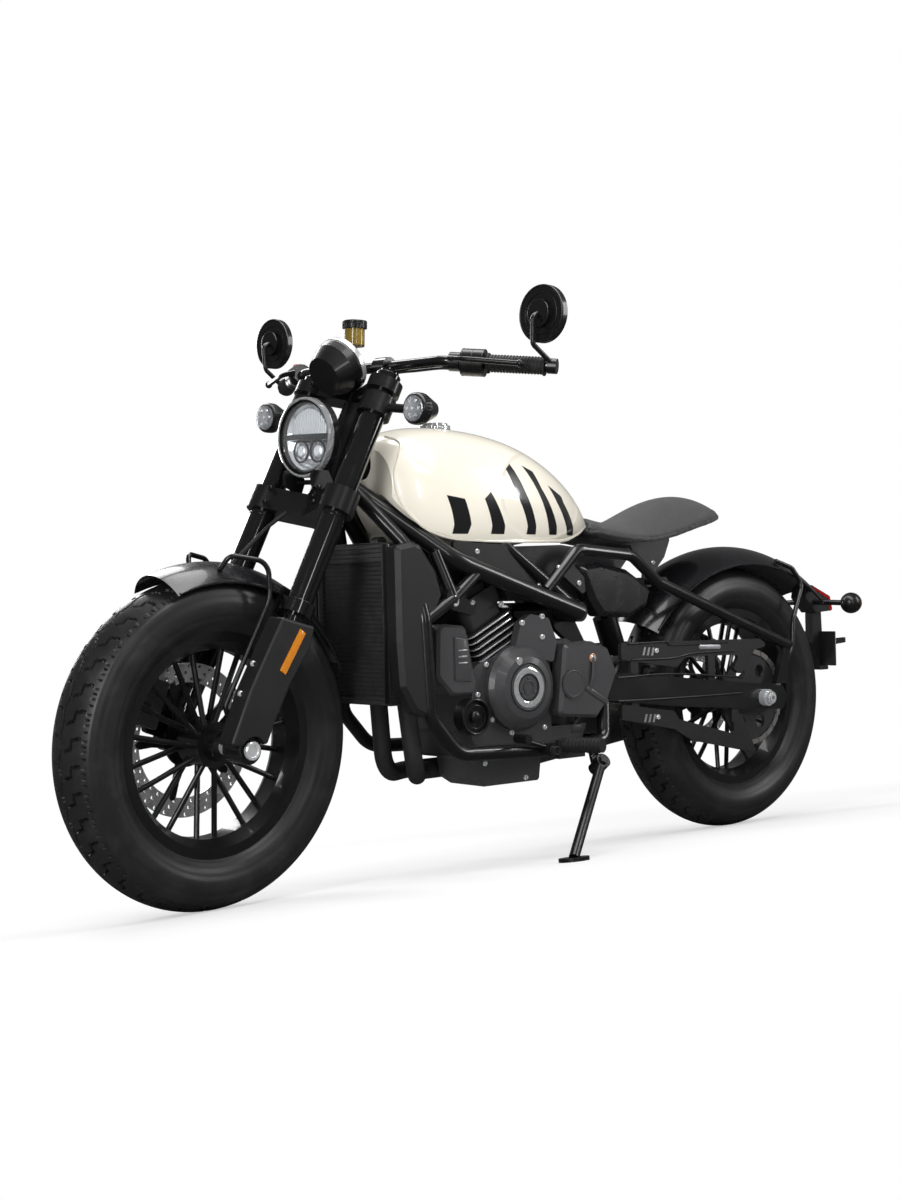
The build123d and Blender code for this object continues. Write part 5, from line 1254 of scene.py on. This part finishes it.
def add_mirror_rings(bm):
    """Stepped rings on the mirrors' fronts and rims."""
    for at in both_sides(MIRROR):
        add_rings(bm, at, AHEAD, ((53.6, 2.6, 6, 72), (40, 1.4, 7, 64), (25.6, 1.6, 15.6, 48)))
        add_ring(bm, at, -AHEAD, 53.4, 2.6, 6, 72)


def bar_ends():
    """Each end of the bar with the way inwards along its grip, left and right."""
    pairs = zip(both_sides(BAR_END), both_sides(BAR_BEND))
    return [(end, (bend - end).normalized()) for end, bend in pairs]


def square_to(direction, way):
    """The part of a direction that is square to a way, at unit length."""
    return (direction - way * direction.dot(way)).normalized()


def add_grip_ribs(bm):
    """Rings and end caps of the grips."""
    for end, way in bar_ends():
        for k in range(17):
            add_ring(bm, end + way * (22 + 6.2 * k), way, 16.4, 1.5, 0, 28)
        add_rings(bm, end, way, ((17.6, 2.6, 16, 32), (18, 2.6, 129, 32)))


def add_bar_details(bm):
    """Seams, buttons and screws of the switch boxes, and riser caps."""
    for end, way in bar_ends():
        rear = square_to(Vector((-0.8, 0, 0.6)), way)
        add_rings(bm, end, way, [(26.6, 0.9, along, 40) for along in (138, 159, 180)])
        for along, lift in ((150, 0.2), (168, -0.3), (168, 0.5)):
            turned = (rear + way.cross(rear) * lift).normalized()
            add_prism(bm, oblong(5, 4), end + way * along + turned * 26, turned, -1, 3.6, 0.8)
        add_bolt(bm, end + way * 196 + rear * 18, rear, 4.4, 4)
    for y in (55, -55):
        add_bolt(bm, (324, y, 1074), (-0.4, 0, 0.9), 5, 5)


def add_stop_button(bm):
    """The stop switch on the right."""
    end, way = bar_ends()[1]
    up = square_to(Vector((0.35, 0, 1)), way)
    add_prism(bm, oblong(7, 4.5), end + way * 160 + up * 25.6, up, 0, 4.6, 1.2)


def add_reservoir_pot(bm):
    """The clear pot with its fluid."""
    add_lathe(bm, [(0, 14.2), (21.6, 14.2), (21.6, -21), (19, -24.6), (0, -24.6)], POT, UP, 48)


def add_reservoir_cap(bm):
    """The ribbed cap with its rim."""
    add_prism(bm, ribbed(26.4, 32, 1.0), POT, UP, 14, 29, 1.0)
    lid = [(0, 32), (17, 32), (18, 30.6), (25.2, 30.6), (26, 29.6), (26, 27), (0, 27)]
    add_lathe(bm, lid, POT, UP, 48)
    add_ring(bm, POT, UP, 24.4, 1.4, 14.6, 48)


def add_gauge_ring(bm):
    """The bright ring round the dial."""
    profile = [(51, 1), (51, 3.4), (54, 4.4), (57.6, 3), (58.6, -1), (58.6, -9), (57, -9), (57, 0), (51, 1)]
    add_lathe(bm, profile, GAUGE, GAUGE_WAY, 72)


def add_gauge_dial(bm):
    """The dark dial and its raised middle."""
    add_lathe(bm, [(0, 1.6), (51.4, 1.6), (51.4, 0.2), (0, 0.2)], GAUGE, GAUGE_WAY, 64)


def add_gauge_marks(bm):
    """Blank marks round the dial and a pointer."""
    place = Matrix.Translation(GAUGE) @ turn_to(GAUGE_WAY)
    for k in range(25):
        a = math.radians(-30 + 10 * k)
        near, far = [Vector((r * math.cos(a), r * math.sin(a), 1.8)) for r in (43.5 if k % 2 else 40, 47)]
        add_rod(bm, place @ near, place @ far, 0.7, 6)


def add_fork_details(bm):
    """Rings on the sliders and clamps, and pinch bolts."""
    for side in SIDES:
        foot = fork_at(0, side * FORK_HALF_SPACING)
        rows = [(25, 1.6, 303, 40), (25.3, 1.2, 486, 40), (24.4, 1.0, 806, 40)]
        add_rings(bm, foot, FORK_UP, rows + [(29.6, 1.2, along, 40) for along in (498, 542, 768, 790)])
    for along in (504, 536, 779):
        for side in SIDES:
            add_bolt(bm, fork_at(along, side * 74, 30), FORK_AHEAD, 5.5, 6)


def add_fork_bolts(bm):
    """Silver bolts of the fork covers, the axle's ends and the caps' hexagons."""
    cap = [(0, 2), (11, 2), (12, 5), (16, 5), (17.5, 3), (17.5, -2), (0, -2)]
    for side in SIDES:
        for x, z in ((724, 479), (753, 425)):
            add_bolt(bm, (x, side * 118, z), ASIDE * side, 6, 5)
        add_lathe(bm, cap, FRONT_AXLE + ASIDE * side * 141, ASIDE * side, 32)
        add_prism(bm, circle_points(9.4, 6), fork_at(812, side * FORK_HALF_SPACING), FORK_UP, 0, 7, 1.0)


def add_fork_reflectors(bm):
    """Amber reflectors on the fork covers' faces."""
    top, foot = Vector((627, 0, 538)), Vector((676, 0, 462))
    way = (foot - top).normalized()
    across = Vector((way.z, 0, -way.x))
    corners = [top + across * 8, top - across * 8, foot - across * 8, foot + across * 8]
    for low, high in ((145.5, 148.4), (-148.4, -145.5)):
        add_plate(bm, [(p.x, p.z) for p in corners], low, high, 1.2)


def add_front_fender_lips(bm):
    """Rolled edges of the front mudguard."""
    add_sweep(bm, arc_points(FRONT_AXLE.xz, 310, 68.6, 69, 155, 56), 3.0, 10)
    mirrored(bm)


def add_caliper_bolts(bm):
    """Bolts and the pads' pins on the front caliper."""
    for x, z, r in ((818, 424, 6.5), (858, 374, 6.5), (838, 400, 4.5), (806, 396, 4.5), (868, 408, 4.5)):
        add_bolt(bm, (x, -94, z), -ASIDE, r, 5)


def add_bar_wires(bm):
    """Wires held along the bar between the switch boxes and the headstock."""
    line = [
        (309, 236, 1064), (326, 204, 1066), (334, 140, 1064), (338, 82, 1062), (352, 58, 1046),
        (372, 38, 1024),
    ]
    for side in SIDES:
        for lift, out in ((14.5, 0.0), (13.5, 8.0)):
            add_sweep(bm, smooth_path([(x - out, side * y, z - lift) for x, y, z in line], 6), 2.6, 8)


# Pieces that steer: name, finish, slot and the function that draws each
FRONT_PIECES = (
    ("headlight_reflector", "reflector", "chrome", add_lamp_inside),
    ("headlight_mask", "black_metal", "black_metal", add_lamp_bar),
    ("headlight_glass", "lamp_glass", "lamp_glass", add_lamp_glass),
    ("headlight_ring", "chrome", "chrome", add_lamp_ring),
    ("signal_lenses", "lamp_glass", "lamp_glass", add_signal_lenses),
    ("signal_cells", "reflector", "chrome", add_signal_cells),
    ("signal_backs", "silver_paint", "silver_paint", add_signal_backs),
    ("signal_rims", "black_metal", "black_metal", add_signal_rims),
    ("mirror_glasses", "mirror_glass", "chrome", add_mirror_glass),
    ("mirror_rings", "gloss_black", "gloss_black", add_mirror_rings),
    ("grip_ribs", "rubber", "rubber", add_grip_ribs),
    ("bar_details", "black_metal", "black_metal", add_bar_details),
    ("stop_button", "red_button", "gloss_black", add_stop_button),
    ("reservoir_pot", "fluid_amber", "fluid_amber", add_reservoir_pot),
    ("reservoir_cap", "black_metal", "black_metal", add_reservoir_cap),
    ("gauge_ring", "steel", "steel", add_gauge_ring),
    ("gauge_dial", "gauge_face", "gloss_black", add_gauge_dial),
    ("gauge_marks", "silver_paint", "silver_paint", add_gauge_marks),
    ("fork_details", "black_metal", "black_metal", add_fork_details),
    ("fork_bolts", "bolt_steel", "steel", add_fork_bolts),
    ("fork_reflectors", "amber_lens", "fluid_amber", add_fork_reflectors),
    ("front_fender_lips", "gloss_black", "gloss_black", add_front_fender_lips),
    ("front_caliper_bolts", "bolt_steel", "steel", add_caliper_bolts),
    ("bar_wires", "rubber", "rubber", add_bar_wires),
)


def build_front_end():
    """Lamp, signals, bar, mirrors, fork and mudguard details."""
    piece(
        "headlight_bowl", "steering", "gloss_black", "gloss_black", add_bowl, sharp_deg=25,
        replaces=("headlight",),
    )
    for name, material, slot, build in FRONT_PIECES:
        piece(name, "steering", material, slot, build)


# Engine and frame

LEAN = math.radians(26)
BARREL_UP = Vector((math.sin(LEAN), 0, math.cos(LEAN)))
BARREL_AHEAD = Vector((math.cos(LEAN), 0, -math.sin(LEAN)))
BARREL_FOOT = Vector((58, 0, 440))
FINS, FIN_STEP, FIRST_FIN = 6, 14.0, 26.0
GENERATOR, UNION, HORN = Vector((39, 149.8, 391)), Vector((-153.5, 149, 445)), Vector((181, 143.4, 338))
# Bolts of the covers on the left: y, radius, height, and (x, z) of each
ENGINE_BOLTS = (
    (132, 6.5, 5, ((38, 528), (-19, 496), (-20, 540))),
    (112, 6, 5, ((124, 443), (150, 381), (112, 326), (57, 295), (-38, 300), (-62, 462))),
    (78, 6, 5, ((105, 231.5), (-10.6, 191))),
    (107, 6, 5, ((154, 574), (74, 569))),
    (156, 8, 4, ((240, 575), (238, 584))),
    (140, 8, 4, ((-128, 547),)),
)
# Bolts on both sides of the panels, the seat plate and the chain guards
PANEL_BOLTS = (
    (-23, 122, 606), (150, 122, 680), (-70, 136, 644), (-129, 136, 610), (-440, 64, 655), (-372, 134, 452),
    (-372, 134, 300),
)
GUARD_FACE, SLOT_FACE = 133.0, 134.5


def add_fin_edges(bm):
    """Polished edges round the cylinders' fins."""
    half_x, half_y, corner, inset = 66.0, 106.0, 16.0, 2.1
    path = []
    for k, (sx, sy) in enumerate(((1, 1), (-1, 1), (-1, -1), (1, -1))):
        for step in range(5):
            a = math.pi / 2 * (k + step / 4)
            x = sx * (half_x - corner) + (corner - inset) * math.cos(a)
            y = sy * (half_y - corner) + (corner - inset) * math.sin(a)
            path.append(BARREL_FOOT + BARREL_AHEAD * x + ASIDE * y)
    for n in range(FINS):
        lift = BARREL_UP * (FIRST_FIN + FIN_STEP * n)
        add_sweep(bm, [point + lift for point in path], 2.62, 8, closed=True)


def add_engine_bolts(bm):
    """Bolts of the left covers."""
    for y, radius, height, places in ENGINE_BOLTS:
        for x, z in places:
            add_bolt(bm, (x, y, z), ASIDE, radius, height)


def add_cover_rings(bm):
    """Rings and pads of the generator cover."""
    add_rings(bm, GENERATOR, ASIDE, ((47, 1.6, 0, 72), (14, 1.0, 0.6, 40)))
    for x, z in circle_points(20, 3, 90):
        middle = GENERATOR + Vector((x, 0, z))
        add_box(bm, middle + Vector((-3, -1, -3)), middle + Vector((3, 1.4, 3)), 1.0)


def add_bright_plugs(bm):
    """The generator cover's bright ring and the bright plugs on the engine's left."""
    ring = [(30, -1), (30, 1.6), (32, 2.2), (41, 2.2), (43, 1.4), (43, -1), (30, -1)]
    add_lathe(bm, ring, GENERATOR + ASIDE * 0.4, ASIDE, 72)
    add_lathe(bm, [(0, 3), (7.4, 3), (8.4, 2.2), (8.8, -2), (0, -2)], (63.5, 149, 448), ASIDE, 32)
    add_lathe(bm, [(0, 4), (5.5, 4), (6.5, 3), (7, -2), (0, -2)], UNION - ASIDE, ASIDE, 24)


def add_copper_washer(bm):
    """The copper washer under the sprocket cover's union."""
    add_ring(bm, UNION, ASIDE, 8.6, 1.4, 0, 28)


def add_cover_details(bm):
    """The sprocket cover's ridge and boss, the regulator's panel, and the selector rod."""
    add_plate(bm, [(-134, 386), (-128, 376), (-192, 340), (-200, 350)], 146, 151, 2)
    add_ring(bm, (-92, 151, 392), ASIDE, 28, 2, 0, 48)
    add_plate(bm, [(178, 410), (222, 414), (222, 504), (186, 500)], 124, 130, 3)
    rod = [(-153, 151, 445), (-148, 152, 400), (-136, 138, 340), (-124, 118, 300)]
    add_sweep(bm, smooth_path(rod, 6), 3.4, 10)
    add_box(bm, (-152, 104, 280), (-118, 113, 298), 2)


def add_slot_highlights(bm):
    """Silver plates standing proud in the chain guards' slots: a painted highlight where the slots' edges
    catch the light.
    """
    for x, z in ((-330, 452), (-344, 451), (-358, 450), (-330, 300), (-344, 299), (-358, 298)):
        outline = [(x - 2, z - 9), (x + 4, z - 9), (x - 2, z + 9), (x - 8, z + 9)]
        add_plate(bm, outline, GUARD_FACE, SLOT_FACE)
    long_slot = [(-520, 449), (-590, 447), (-594, 452), (-590, 457), (-520, 459), (-516, 454)]
    add_plate(bm, long_slot, GUARD_FACE, SLOT_FACE, 0.4)


def add_guard_ridges(bm):
    """Raised ridges on the chain guards and the swingarm."""
    for points in (
        [(-280, 134, 470), (-400, 134, 470), (-430, 134, 462), (-620, 134, 462)],
        [(-290, 134, 434), (-420, 134, 432), (-500, 134, 440), (-640, 134, 440)],
        [(-240, 138, 396), (-420, 138, 396), (-660, 138, 376)],
        [(-240, 138, 344), (-420, 138, 340), (-660, 138, 338)],
    ):
        add_sweep(bm, smooth_path(points, 6), 2.6, 10)
    mirrored(bm)


def add_regulator_strips(bm):
    """Silver strips on the regulator's cover."""
    for z in (476, 463, 450):
        add_box(bm, (190, 129.4, z - 1.8), (214, 131, z + 1.8), 0.6)


def add_horn_face(bm):
    """The horn's rings and cone."""
    add_rings(bm, HORN, ASIDE, ((35.5, 2.6, 0, 56), (24, 1.2, 0, 48)))
    add_lathe(bm, [(0, 4), (5, 4), (9, 2.4), (12, 0), (0, 0)], HORN, ASIDE, 32)


def add_panel_bolts(bm):
    """Bolts of the panels, the guards and the seat plate."""
    for x, y, z in PANEL_BOLTS:
        for side in SIDES:
            add_bolt(bm, (x, side * y, z), ASIDE * side, 6, 4)


def add_rear_fender_lips(bm):
    """Rolled edges of the rear mudguard."""
    add_sweep(bm, arc_points((-762, 206), 442, 90.4, 41, 129, 60), 3.2, 10)
    mirrored(bm)


def add_axle_nuts(bm):
    """Rear axle nuts and washers."""
    for side in SIDES:
        out = ASIDE * side
        add_prism(bm, circle_points(16, 6), REAR_AXLE + out * 150, out, -6, 8, 1.4)
        add_lathe(bm, [(10, 0), (20, 0), (20, 3), (10, 3), (10, 0)], REAR_AXLE + out * 139, out, 36)


def add_tail_lens(bm):
    """The tail lamp's red lens."""
    outline = [(-1087, 590), (-1160, 560.5), (-1169, 526), (-1158, 523), (-1150, 556), (-1090, 583)]
    add_plate(bm, outline, -25, 25, 1.5)


def add_blank_plate(bm):
    """The blank plate."""
    add_box(bm, (-1133, -60.5, 381), (-1131.6, 60.5, 469), 0.5)


def add_rear_lenses(bm):
    """Amber lenses of the rear signals."""
    for at in both_sides((-1107, 130, 544)):
        add_lathe(bm, [(0, 28.4), (12, 26), (20, 20), (25, 11), (24, 9), (0, 9)], at, -AHEAD, 36)


def add_peg_ribs(bm):
    """Ribs round the rubber footpegs and the pedals' rubbers."""
    for side in SIDES:
        root, tip = Vector((-40, side * 170, 264)), Vector((-66, side * 262, 266))
        way = (tip - root).normalized()
        add_rings(bm, root, way, [(14.8, 1.7, 14 + 9 * k, 24) for k in range(9)])
    for side, x, z in ((1, 10, 258), (-1, 92, 288)):
        for k in range(3):
            add_ring(bm, (x, side * (190 + 6 * k), z), ASIDE, 8.2, 1.4, 0, 20)


def add_radiator_tanks(bm):
    """Side tanks of the radiator's face."""
    for y in (-112, 112):
        add_box(bm, (376, y - 7, 376), (388, y + 7, 696), 2)


CHAIN_PITCH, CHAIN_LINE = 15.875, 92.0
DRIVE_CENTRE, DRIVE_RADIUS, DRIVEN_RADIUS = Vector((-150, 400)), 38.0, 111.0
LINK_END_RADIUS, LINK_HALF_THICK = 6.8, 0.8


def chain_loop():
    """Points round the chain's loop: the rear sprocket's arc, then the front one's."""
    driven = REAR_AXLE.xz
    span = DRIVE_CENTRE - driven
    lift = math.acos((DRIVEN_RADIUS - DRIVE_RADIUS) / span.length)
    base = math.atan2(span.y, span.x)
    corners = []
    for centre, radius, first, last in (
        (driven, DRIVEN_RADIUS, base + lift, base + 2 * math.pi - lift),
        (DRIVE_CENTRE, DRIVE_RADIUS, base - lift, base + lift),
    ):
        arc = arc_points(centre, radius, 0, math.degrees(first), math.degrees(last), 60)
        corners += [point.xz for point in arc]
    return corners + corners[:1]


def chain_places():
    """Places of the chain's pins, evenly spaced near the true pitch."""
    corners = chain_loop()
    lengths = [(b - a).length for a, b in zip(corners, corners[1:])]
    count = 2 * round(sum(lengths) / CHAIN_PITCH / 2)
    places, walked, index = [], 0.0, 0
    for k in range(count):
        target = sum(lengths) * k / count
        while walked + lengths[index] < target:
            walked += lengths[index]
            index += 1
        share = (target - walked) / lengths[index]
        places.append(corners[index].lerp(corners[index + 1], share))
    return places


def add_chain(bm):
    """Inner and outer links with rollers."""
    places = chain_places()
    for k, here in enumerate(places):
        after = places[(k + 1) % len(places)]
        way = (after - here).normalized() * LINK_END_RADIUS
        square = Vector((-way.y, way.x))
        outline = []
        for centre, sign in ((here, -1), (after, 1)):
            for turn in (-sign, 0, sign):
                a = math.radians(58 * turn)
                outline.append(centre + way * (sign * math.cos(a)) + square * math.sin(a))
        offset = 5.6 if k % 2 else 3.8
        for side in SIDES:
            y = CHAIN_LINE + side * offset
            add_plate(bm, outline, y - LINK_HALF_THICK, y + LINK_HALF_THICK)
        for half, radius, segments in ((7.0, 2.6, 8), (2.8, 4.8, 10)):
            ends = [(here.x, CHAIN_LINE + side * half, here.y) for side in SIDES]
            add_rod(bm, *ends, radius, segments)


def build_tank():
    """Tank lip and cap."""
    piece("tank_lip", "frame", "tank_rim", "cream_paint", add_tank_lip)
    piece("fuel_cap_knurl", "frame", "chrome", "chrome", add_fuel_cap)


# Pieces on the frame: name, finish, slot and the function that draws each
ENGINE_PIECES = (
    ("fin_edges", "fin_edge", "fin_metal", add_fin_edges),
    ("engine_bolts", "bolt_steel", "steel", add_engine_bolts),
    ("cover_rings", "engine_black", "engine_black", add_cover_rings),
    ("bright_plugs", "chrome", "chrome", add_bright_plugs),
    ("copper_washers", "copper", "steel", add_copper_washer),
    ("cover_details", "engine_black", "engine_black", add_cover_details),
    ("regulator_strips", "silver_paint", "silver_paint", add_regulator_strips),
    ("horn_face", "black_metal", "black_metal", add_horn_face),
    ("radiator_tanks", "black_metal", "black_metal", add_radiator_tanks),
)
REAR_PIECES = (
    ("panel_bolts", "bolt_steel", "steel", add_panel_bolts),
    # Painted highlight: silver plates in the chain guards' slots.
    ("guard_slot_highlights", "silver_paint", "silver_paint", add_slot_highlights),
    ("guard_ridges", "black_metal", "black_metal", add_guard_ridges),
    ("rear_fender_lips", "gloss_black", "gloss_black", add_rear_fender_lips),
    ("rear_axle_nuts", "bolt_steel", "steel", add_axle_nuts),
    ("tail_lens", "red_lens", "gloss_black", add_tail_lens),
    ("blank_plate", "silver_paint", "silver_paint", add_blank_plate),
    ("rear_signal_lenses", "amber_lens", "fluid_amber", add_rear_lenses),
    ("peg_ribs", "rubber", "rubber", add_peg_ribs),
)


def build_engine():
    """Fins, bolts, rings and covers of the engine."""
    for name, material, slot, build in ENGINE_PIECES:
        piece(name, "frame", material, slot, build)


def build_rear_end():
    """Bolts, mudguard lips, axle nuts, chain, lamps and pegs."""
    for name, material, slot, build in REAR_PIECES:
        piece(name, "frame", material, slot, build)
    piece("roller_chain", "frame", "chain_steel", "chain_steel", add_chain, replaces=("drive_chain",))


# The stage

# Each soft box in the parked frame, in metres: place, aim, size, and the setting and share of its power
SOFT_BOXES = (
    ("top_box", (0.1, 0.9, 2.7), (0, 0, 0.5), (1.0, 3.2), "top_power", 1.0),
    ("far_box", (0.2, -1.9, 2.2), (0, 0, 0.6), (0.6, 3.0), "side_power", 1.0),
    ("side_box", (3.0, 1.5, 1.1), (0.6, 0, 0.4), (0.5, 2.0), "side_power", 1.0),
    ("rear_box", (-2.4, 2.2, 1.5), (-0.3, 0, 0.6), (0.4, 2.0), "rear_power", 1.0),
    ("low_box", (1.2, 3.4, 0.5), (0, 0, 0.5), (0.25, 2.4), "side_power", 0.4),
)
WHITE = (1, 1, 1, 1)
FLOOR_RADIUS, FLOOR_COLOUR, MIRRORED_FLOOR = 14.0, (0.86, 0.86, 0.86), (0.07, 0.07, 0.07, 1)
# Distances from the middle between which the floor fades into the room, and how faded it starts
FADE_NEAR, FADE_FAR, LEAST_FADE = 1.0, 2.6, 0.5
# How much of the room's light reflections lose
REFLECTED_LOSS = 0.45


def camera_turn():
    """The camera's axes in the upright machine's frame, as columns right, up and back."""
    ahead = Vector((
        math.cos(CAMERA_PITCH) * math.cos(CAMERA_YAW),
        math.cos(CAMERA_PITCH) * math.sin(CAMERA_YAW),
        math.sin(CAMERA_PITCH),
    ))
    right = ahead.cross(Vector((0, 0, 1))).normalized()
    up = right.cross(ahead)
    cos_roll, sin_roll = math.cos(CAMERA_ROLL), math.sin(CAMERA_ROLL)
    rolled_right = right * cos_roll + up * sin_roll
    rolled_up = up * cos_roll - right * sin_roll
    return Matrix((rolled_right, rolled_up, -ahead)).transposed()


def build_camera():
    """The photograph's view of the upright machine, carried along with its lean."""
    data = bpy.data.cameras.new("photo_camera")
    data.sensor_fit = "VERTICAL"
    data.sensor_height = SENSOR_MM
    data.lens = SENSOR_MM * CAMERA_FOCAL_PX / PHOTO_HEIGHT_PX
    camera = add_object("photo_camera", data)
    turn = FIXED.to_quaternion().to_matrix() @ camera_turn()
    camera.matrix_world = Matrix.Translation(FIXED @ CAMERA_AT) @ turn.to_4x4()
    bpy.context.scene.camera = camera


def area_light(name, at, aim, size, power):
    """A soft box at a point, aimed at another, both in the parked frame."""
    data = bpy.data.lights.new(name, "AREA")
    data.shape = "RECTANGLE"
    data.size, data.size_y = size
    data.energy = power
    turn = (Vector(aim) - Vector(at)).to_track_quat("-Z", "Y").to_matrix().to_4x4()
    add_object(name, data).matrix_world = Matrix.Translation(at) @ turn


def direct_rays(tree):
    """A light path node, and a value of 1 for rays straight or through glass from the camera."""
    path = tree.nodes.new("ShaderNodeLightPath")
    seen = math_node(tree, "MAXIMUM", path.outputs["Is Camera Ray"], path.outputs["Is Transmission Ray"])
    return path, seen


def build_lights():
    """Boxes overhead, beyond, beside, behind and low down, and the room, dimmer in reflections."""
    studio = settings().studio
    for name, at, aim, size, power, share in SOFT_BOXES:
        area_light(name, at, aim, size, getattr(studio, power) * share)
    world = bpy.data.worlds.new("studio_room")
    bpy.context.scene.world = world
    world.use_nodes = True
    tree = world.node_tree
    tree.nodes.clear()
    path, seen = direct_rays(tree)
    loss = -REFLECTED_LOSS * studio.fill
    dim = math_node(tree, "MULTIPLY_ADD", path.outputs["Is Glossy Ray"], loss, studio.fill)
    strength = math_node(tree, "MAXIMUM", dim, seen)
    back = add_node(tree, "ShaderNodeBackground", {"Color": WHITE, "Strength": strength})
    leave = tree.nodes.new("ShaderNodeOutputWorld")
    tree.links.new(back.outputs[0], leave.inputs[0])


def build_floor():
    """A plain pale floor that fades into the white room, and keeps the machine's shadow."""
    bm = bmesh.new()
    bmesh.ops.create_circle(bm, cap_ends=True, segments=64, radius=FLOOR_RADIUS)
    mesh = bpy.data.meshes.new("studio_floor")
    bm.to_mesh(mesh)
    bm.free()
    floor = add_object("studio_floor", mesh)
    material, tree, shader, where = start_material("pale_floor")
    set_inputs(shader, Base_Color=FLOOR_COLOUR, Roughness=0.75)
    distance = vector_node(tree, "LENGTH", where, output="Value")
    far = map_range(tree, distance, FADE_NEAR, FADE_FAR, LEAST_FADE, 1.0, smooth=True)
    path, seen = direct_rays(tree)
    glow = add_node(tree, "ShaderNodeEmission", {"Color": WHITE, "Strength": 1.0})
    shade = add_node(tree, "ShaderNodeBsdfDiffuse", {"Color": MIRRORED_FLOOR})
    mirrored_floor = add_node(tree, "ShaderNodeMixShader", {0: path.outputs["Is Glossy Ray"]})
    tree.links.new(shader.outputs[0], mirrored_floor.inputs[1])
    tree.links.new(shade.outputs[0], mirrored_floor.inputs[2])
    blend = add_node(tree, "ShaderNodeMixShader", {0: math_node(tree, "MULTIPLY", far, seen)})
    tree.links.new(mirrored_floor.outputs[0], blend.inputs[1])
    tree.links.new(glow.outputs[0], blend.inputs[2])
    tree.links.new(blend.outputs[0], tree.nodes["Material Output"].inputs[0])
    mesh.materials.append(material)


# Operators


class MOTORCYCLE_OT_stage(bpy.types.Operator):
    """Builds the floor, the lights and the photograph's camera"""

    bl_idname = "motorcycle.stage"
    bl_label = "Stage"

    def execute(self, context):
        context.scene.view_settings.view_transform = "Standard"
        build_camera()
        build_lights()
        build_floor()
        return {"FINISHED"}


class MOTORCYCLE_OT_finishes(bpy.types.Operator):
    """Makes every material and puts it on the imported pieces"""

    bl_idname = "motorcycle.finishes"
    bl_label = "Finishes"

    def execute(self, context):
        build_materials()
        dress_nodes()
        return {"FINISHED"}


class MOTORCYCLE_OT_wheels(bpy.types.Operator):
    """Adds the treaded tyres, the drilled discs and the rims' trim"""

    bl_idname = "motorcycle.wheels"
    bl_label = "Wheels"

    def execute(self, context):
        build_wheels()
        return {"FINISHED"}


class MOTORCYCLE_OT_tank(bpy.types.Operator):
    """Adds the tank's lip and the knurled cap"""

    bl_idname = "motorcycle.tank"
    bl_label = "Tank"

    def execute(self, context):
        build_tank()
        return {"FINISHED"}


class MOTORCYCLE_OT_saddle(bpy.types.Operator):
    """Shapes the padded saddle with its piping and stitches"""

    bl_idname = "motorcycle.saddle"
    bl_label = "Saddle"

    def execute(self, context):
        build_saddle()
        return {"FINISHED"}


class MOTORCYCLE_OT_front_end(bpy.types.Operator):
    """Adds the lamp, signals, mirrors, bar and fork details"""

    bl_idname = "motorcycle.front_end"
    bl_label = "Front end"

    def execute(self, context):
        build_front_end()
        return {"FINISHED"}


class MOTORCYCLE_OT_engine(bpy.types.Operator):
    """Adds the fins' edges, bolts, rings and cover details"""

    bl_idname = "motorcycle.engine"
    bl_label = "Engine"

    def execute(self, context):
        build_engine()
        return {"FINISHED"}


class MOTORCYCLE_OT_rear_end(bpy.types.Operator):
    """Adds the chain, mudguard lips, axle nuts, lamps and pegs"""

    bl_idname = "motorcycle.rear_end"
    bl_label = "Rear end"

    def execute(self, context):
        build_rear_end()
        return {"FINISHED"}


OPERATORS = [
    MOTORCYCLE_OT_stage, MOTORCYCLE_OT_finishes, MOTORCYCLE_OT_wheels, MOTORCYCLE_OT_tank,
    MOTORCYCLE_OT_saddle, MOTORCYCLE_OT_front_end, MOTORCYCLE_OT_engine, MOTORCYCLE_OT_rear_end,
]


class MOTORCYCLE_PT_panel(bpy.types.Panel):
    """Lists the motorcycle's steps in the sidebar"""

    bl_label = "Motorcycle"
    bl_idname = "MOTORCYCLE_PT_panel"
    bl_space_type = "VIEW_3D"
    bl_region_type = "UI"
    bl_category = "Motorcycle"

    def draw(self, context):
        for operator in OPERATORS:
            self.layout.operator(operator.bl_idname)


SETTINGS = [FinishSettings, StudioSettings, TreadSettings, MotorcycleSettings]
CLASSES = SETTINGS + OPERATORS + [MOTORCYCLE_PT_panel]


def register():
    """Registers the classes and the scene's settings."""
    for cls in CLASSES:
        bpy.utils.register_class(cls)
    bpy.types.Scene.motorcycle = PointerProperty(type=MotorcycleSettings)


def unregister():
    """Takes the settings and the classes away again."""
    del bpy.types.Scene.motorcycle
    for cls in reversed(CLASSES):
        bpy.utils.unregister_class(cls)


def main():
    """Runs every step in order."""
    register()
    for operator in OPERATORS:
        group, name = operator.bl_idname.split(".")
        getattr(getattr(bpy.ops, group), name)()


if __name__ == "__main__":
    main()
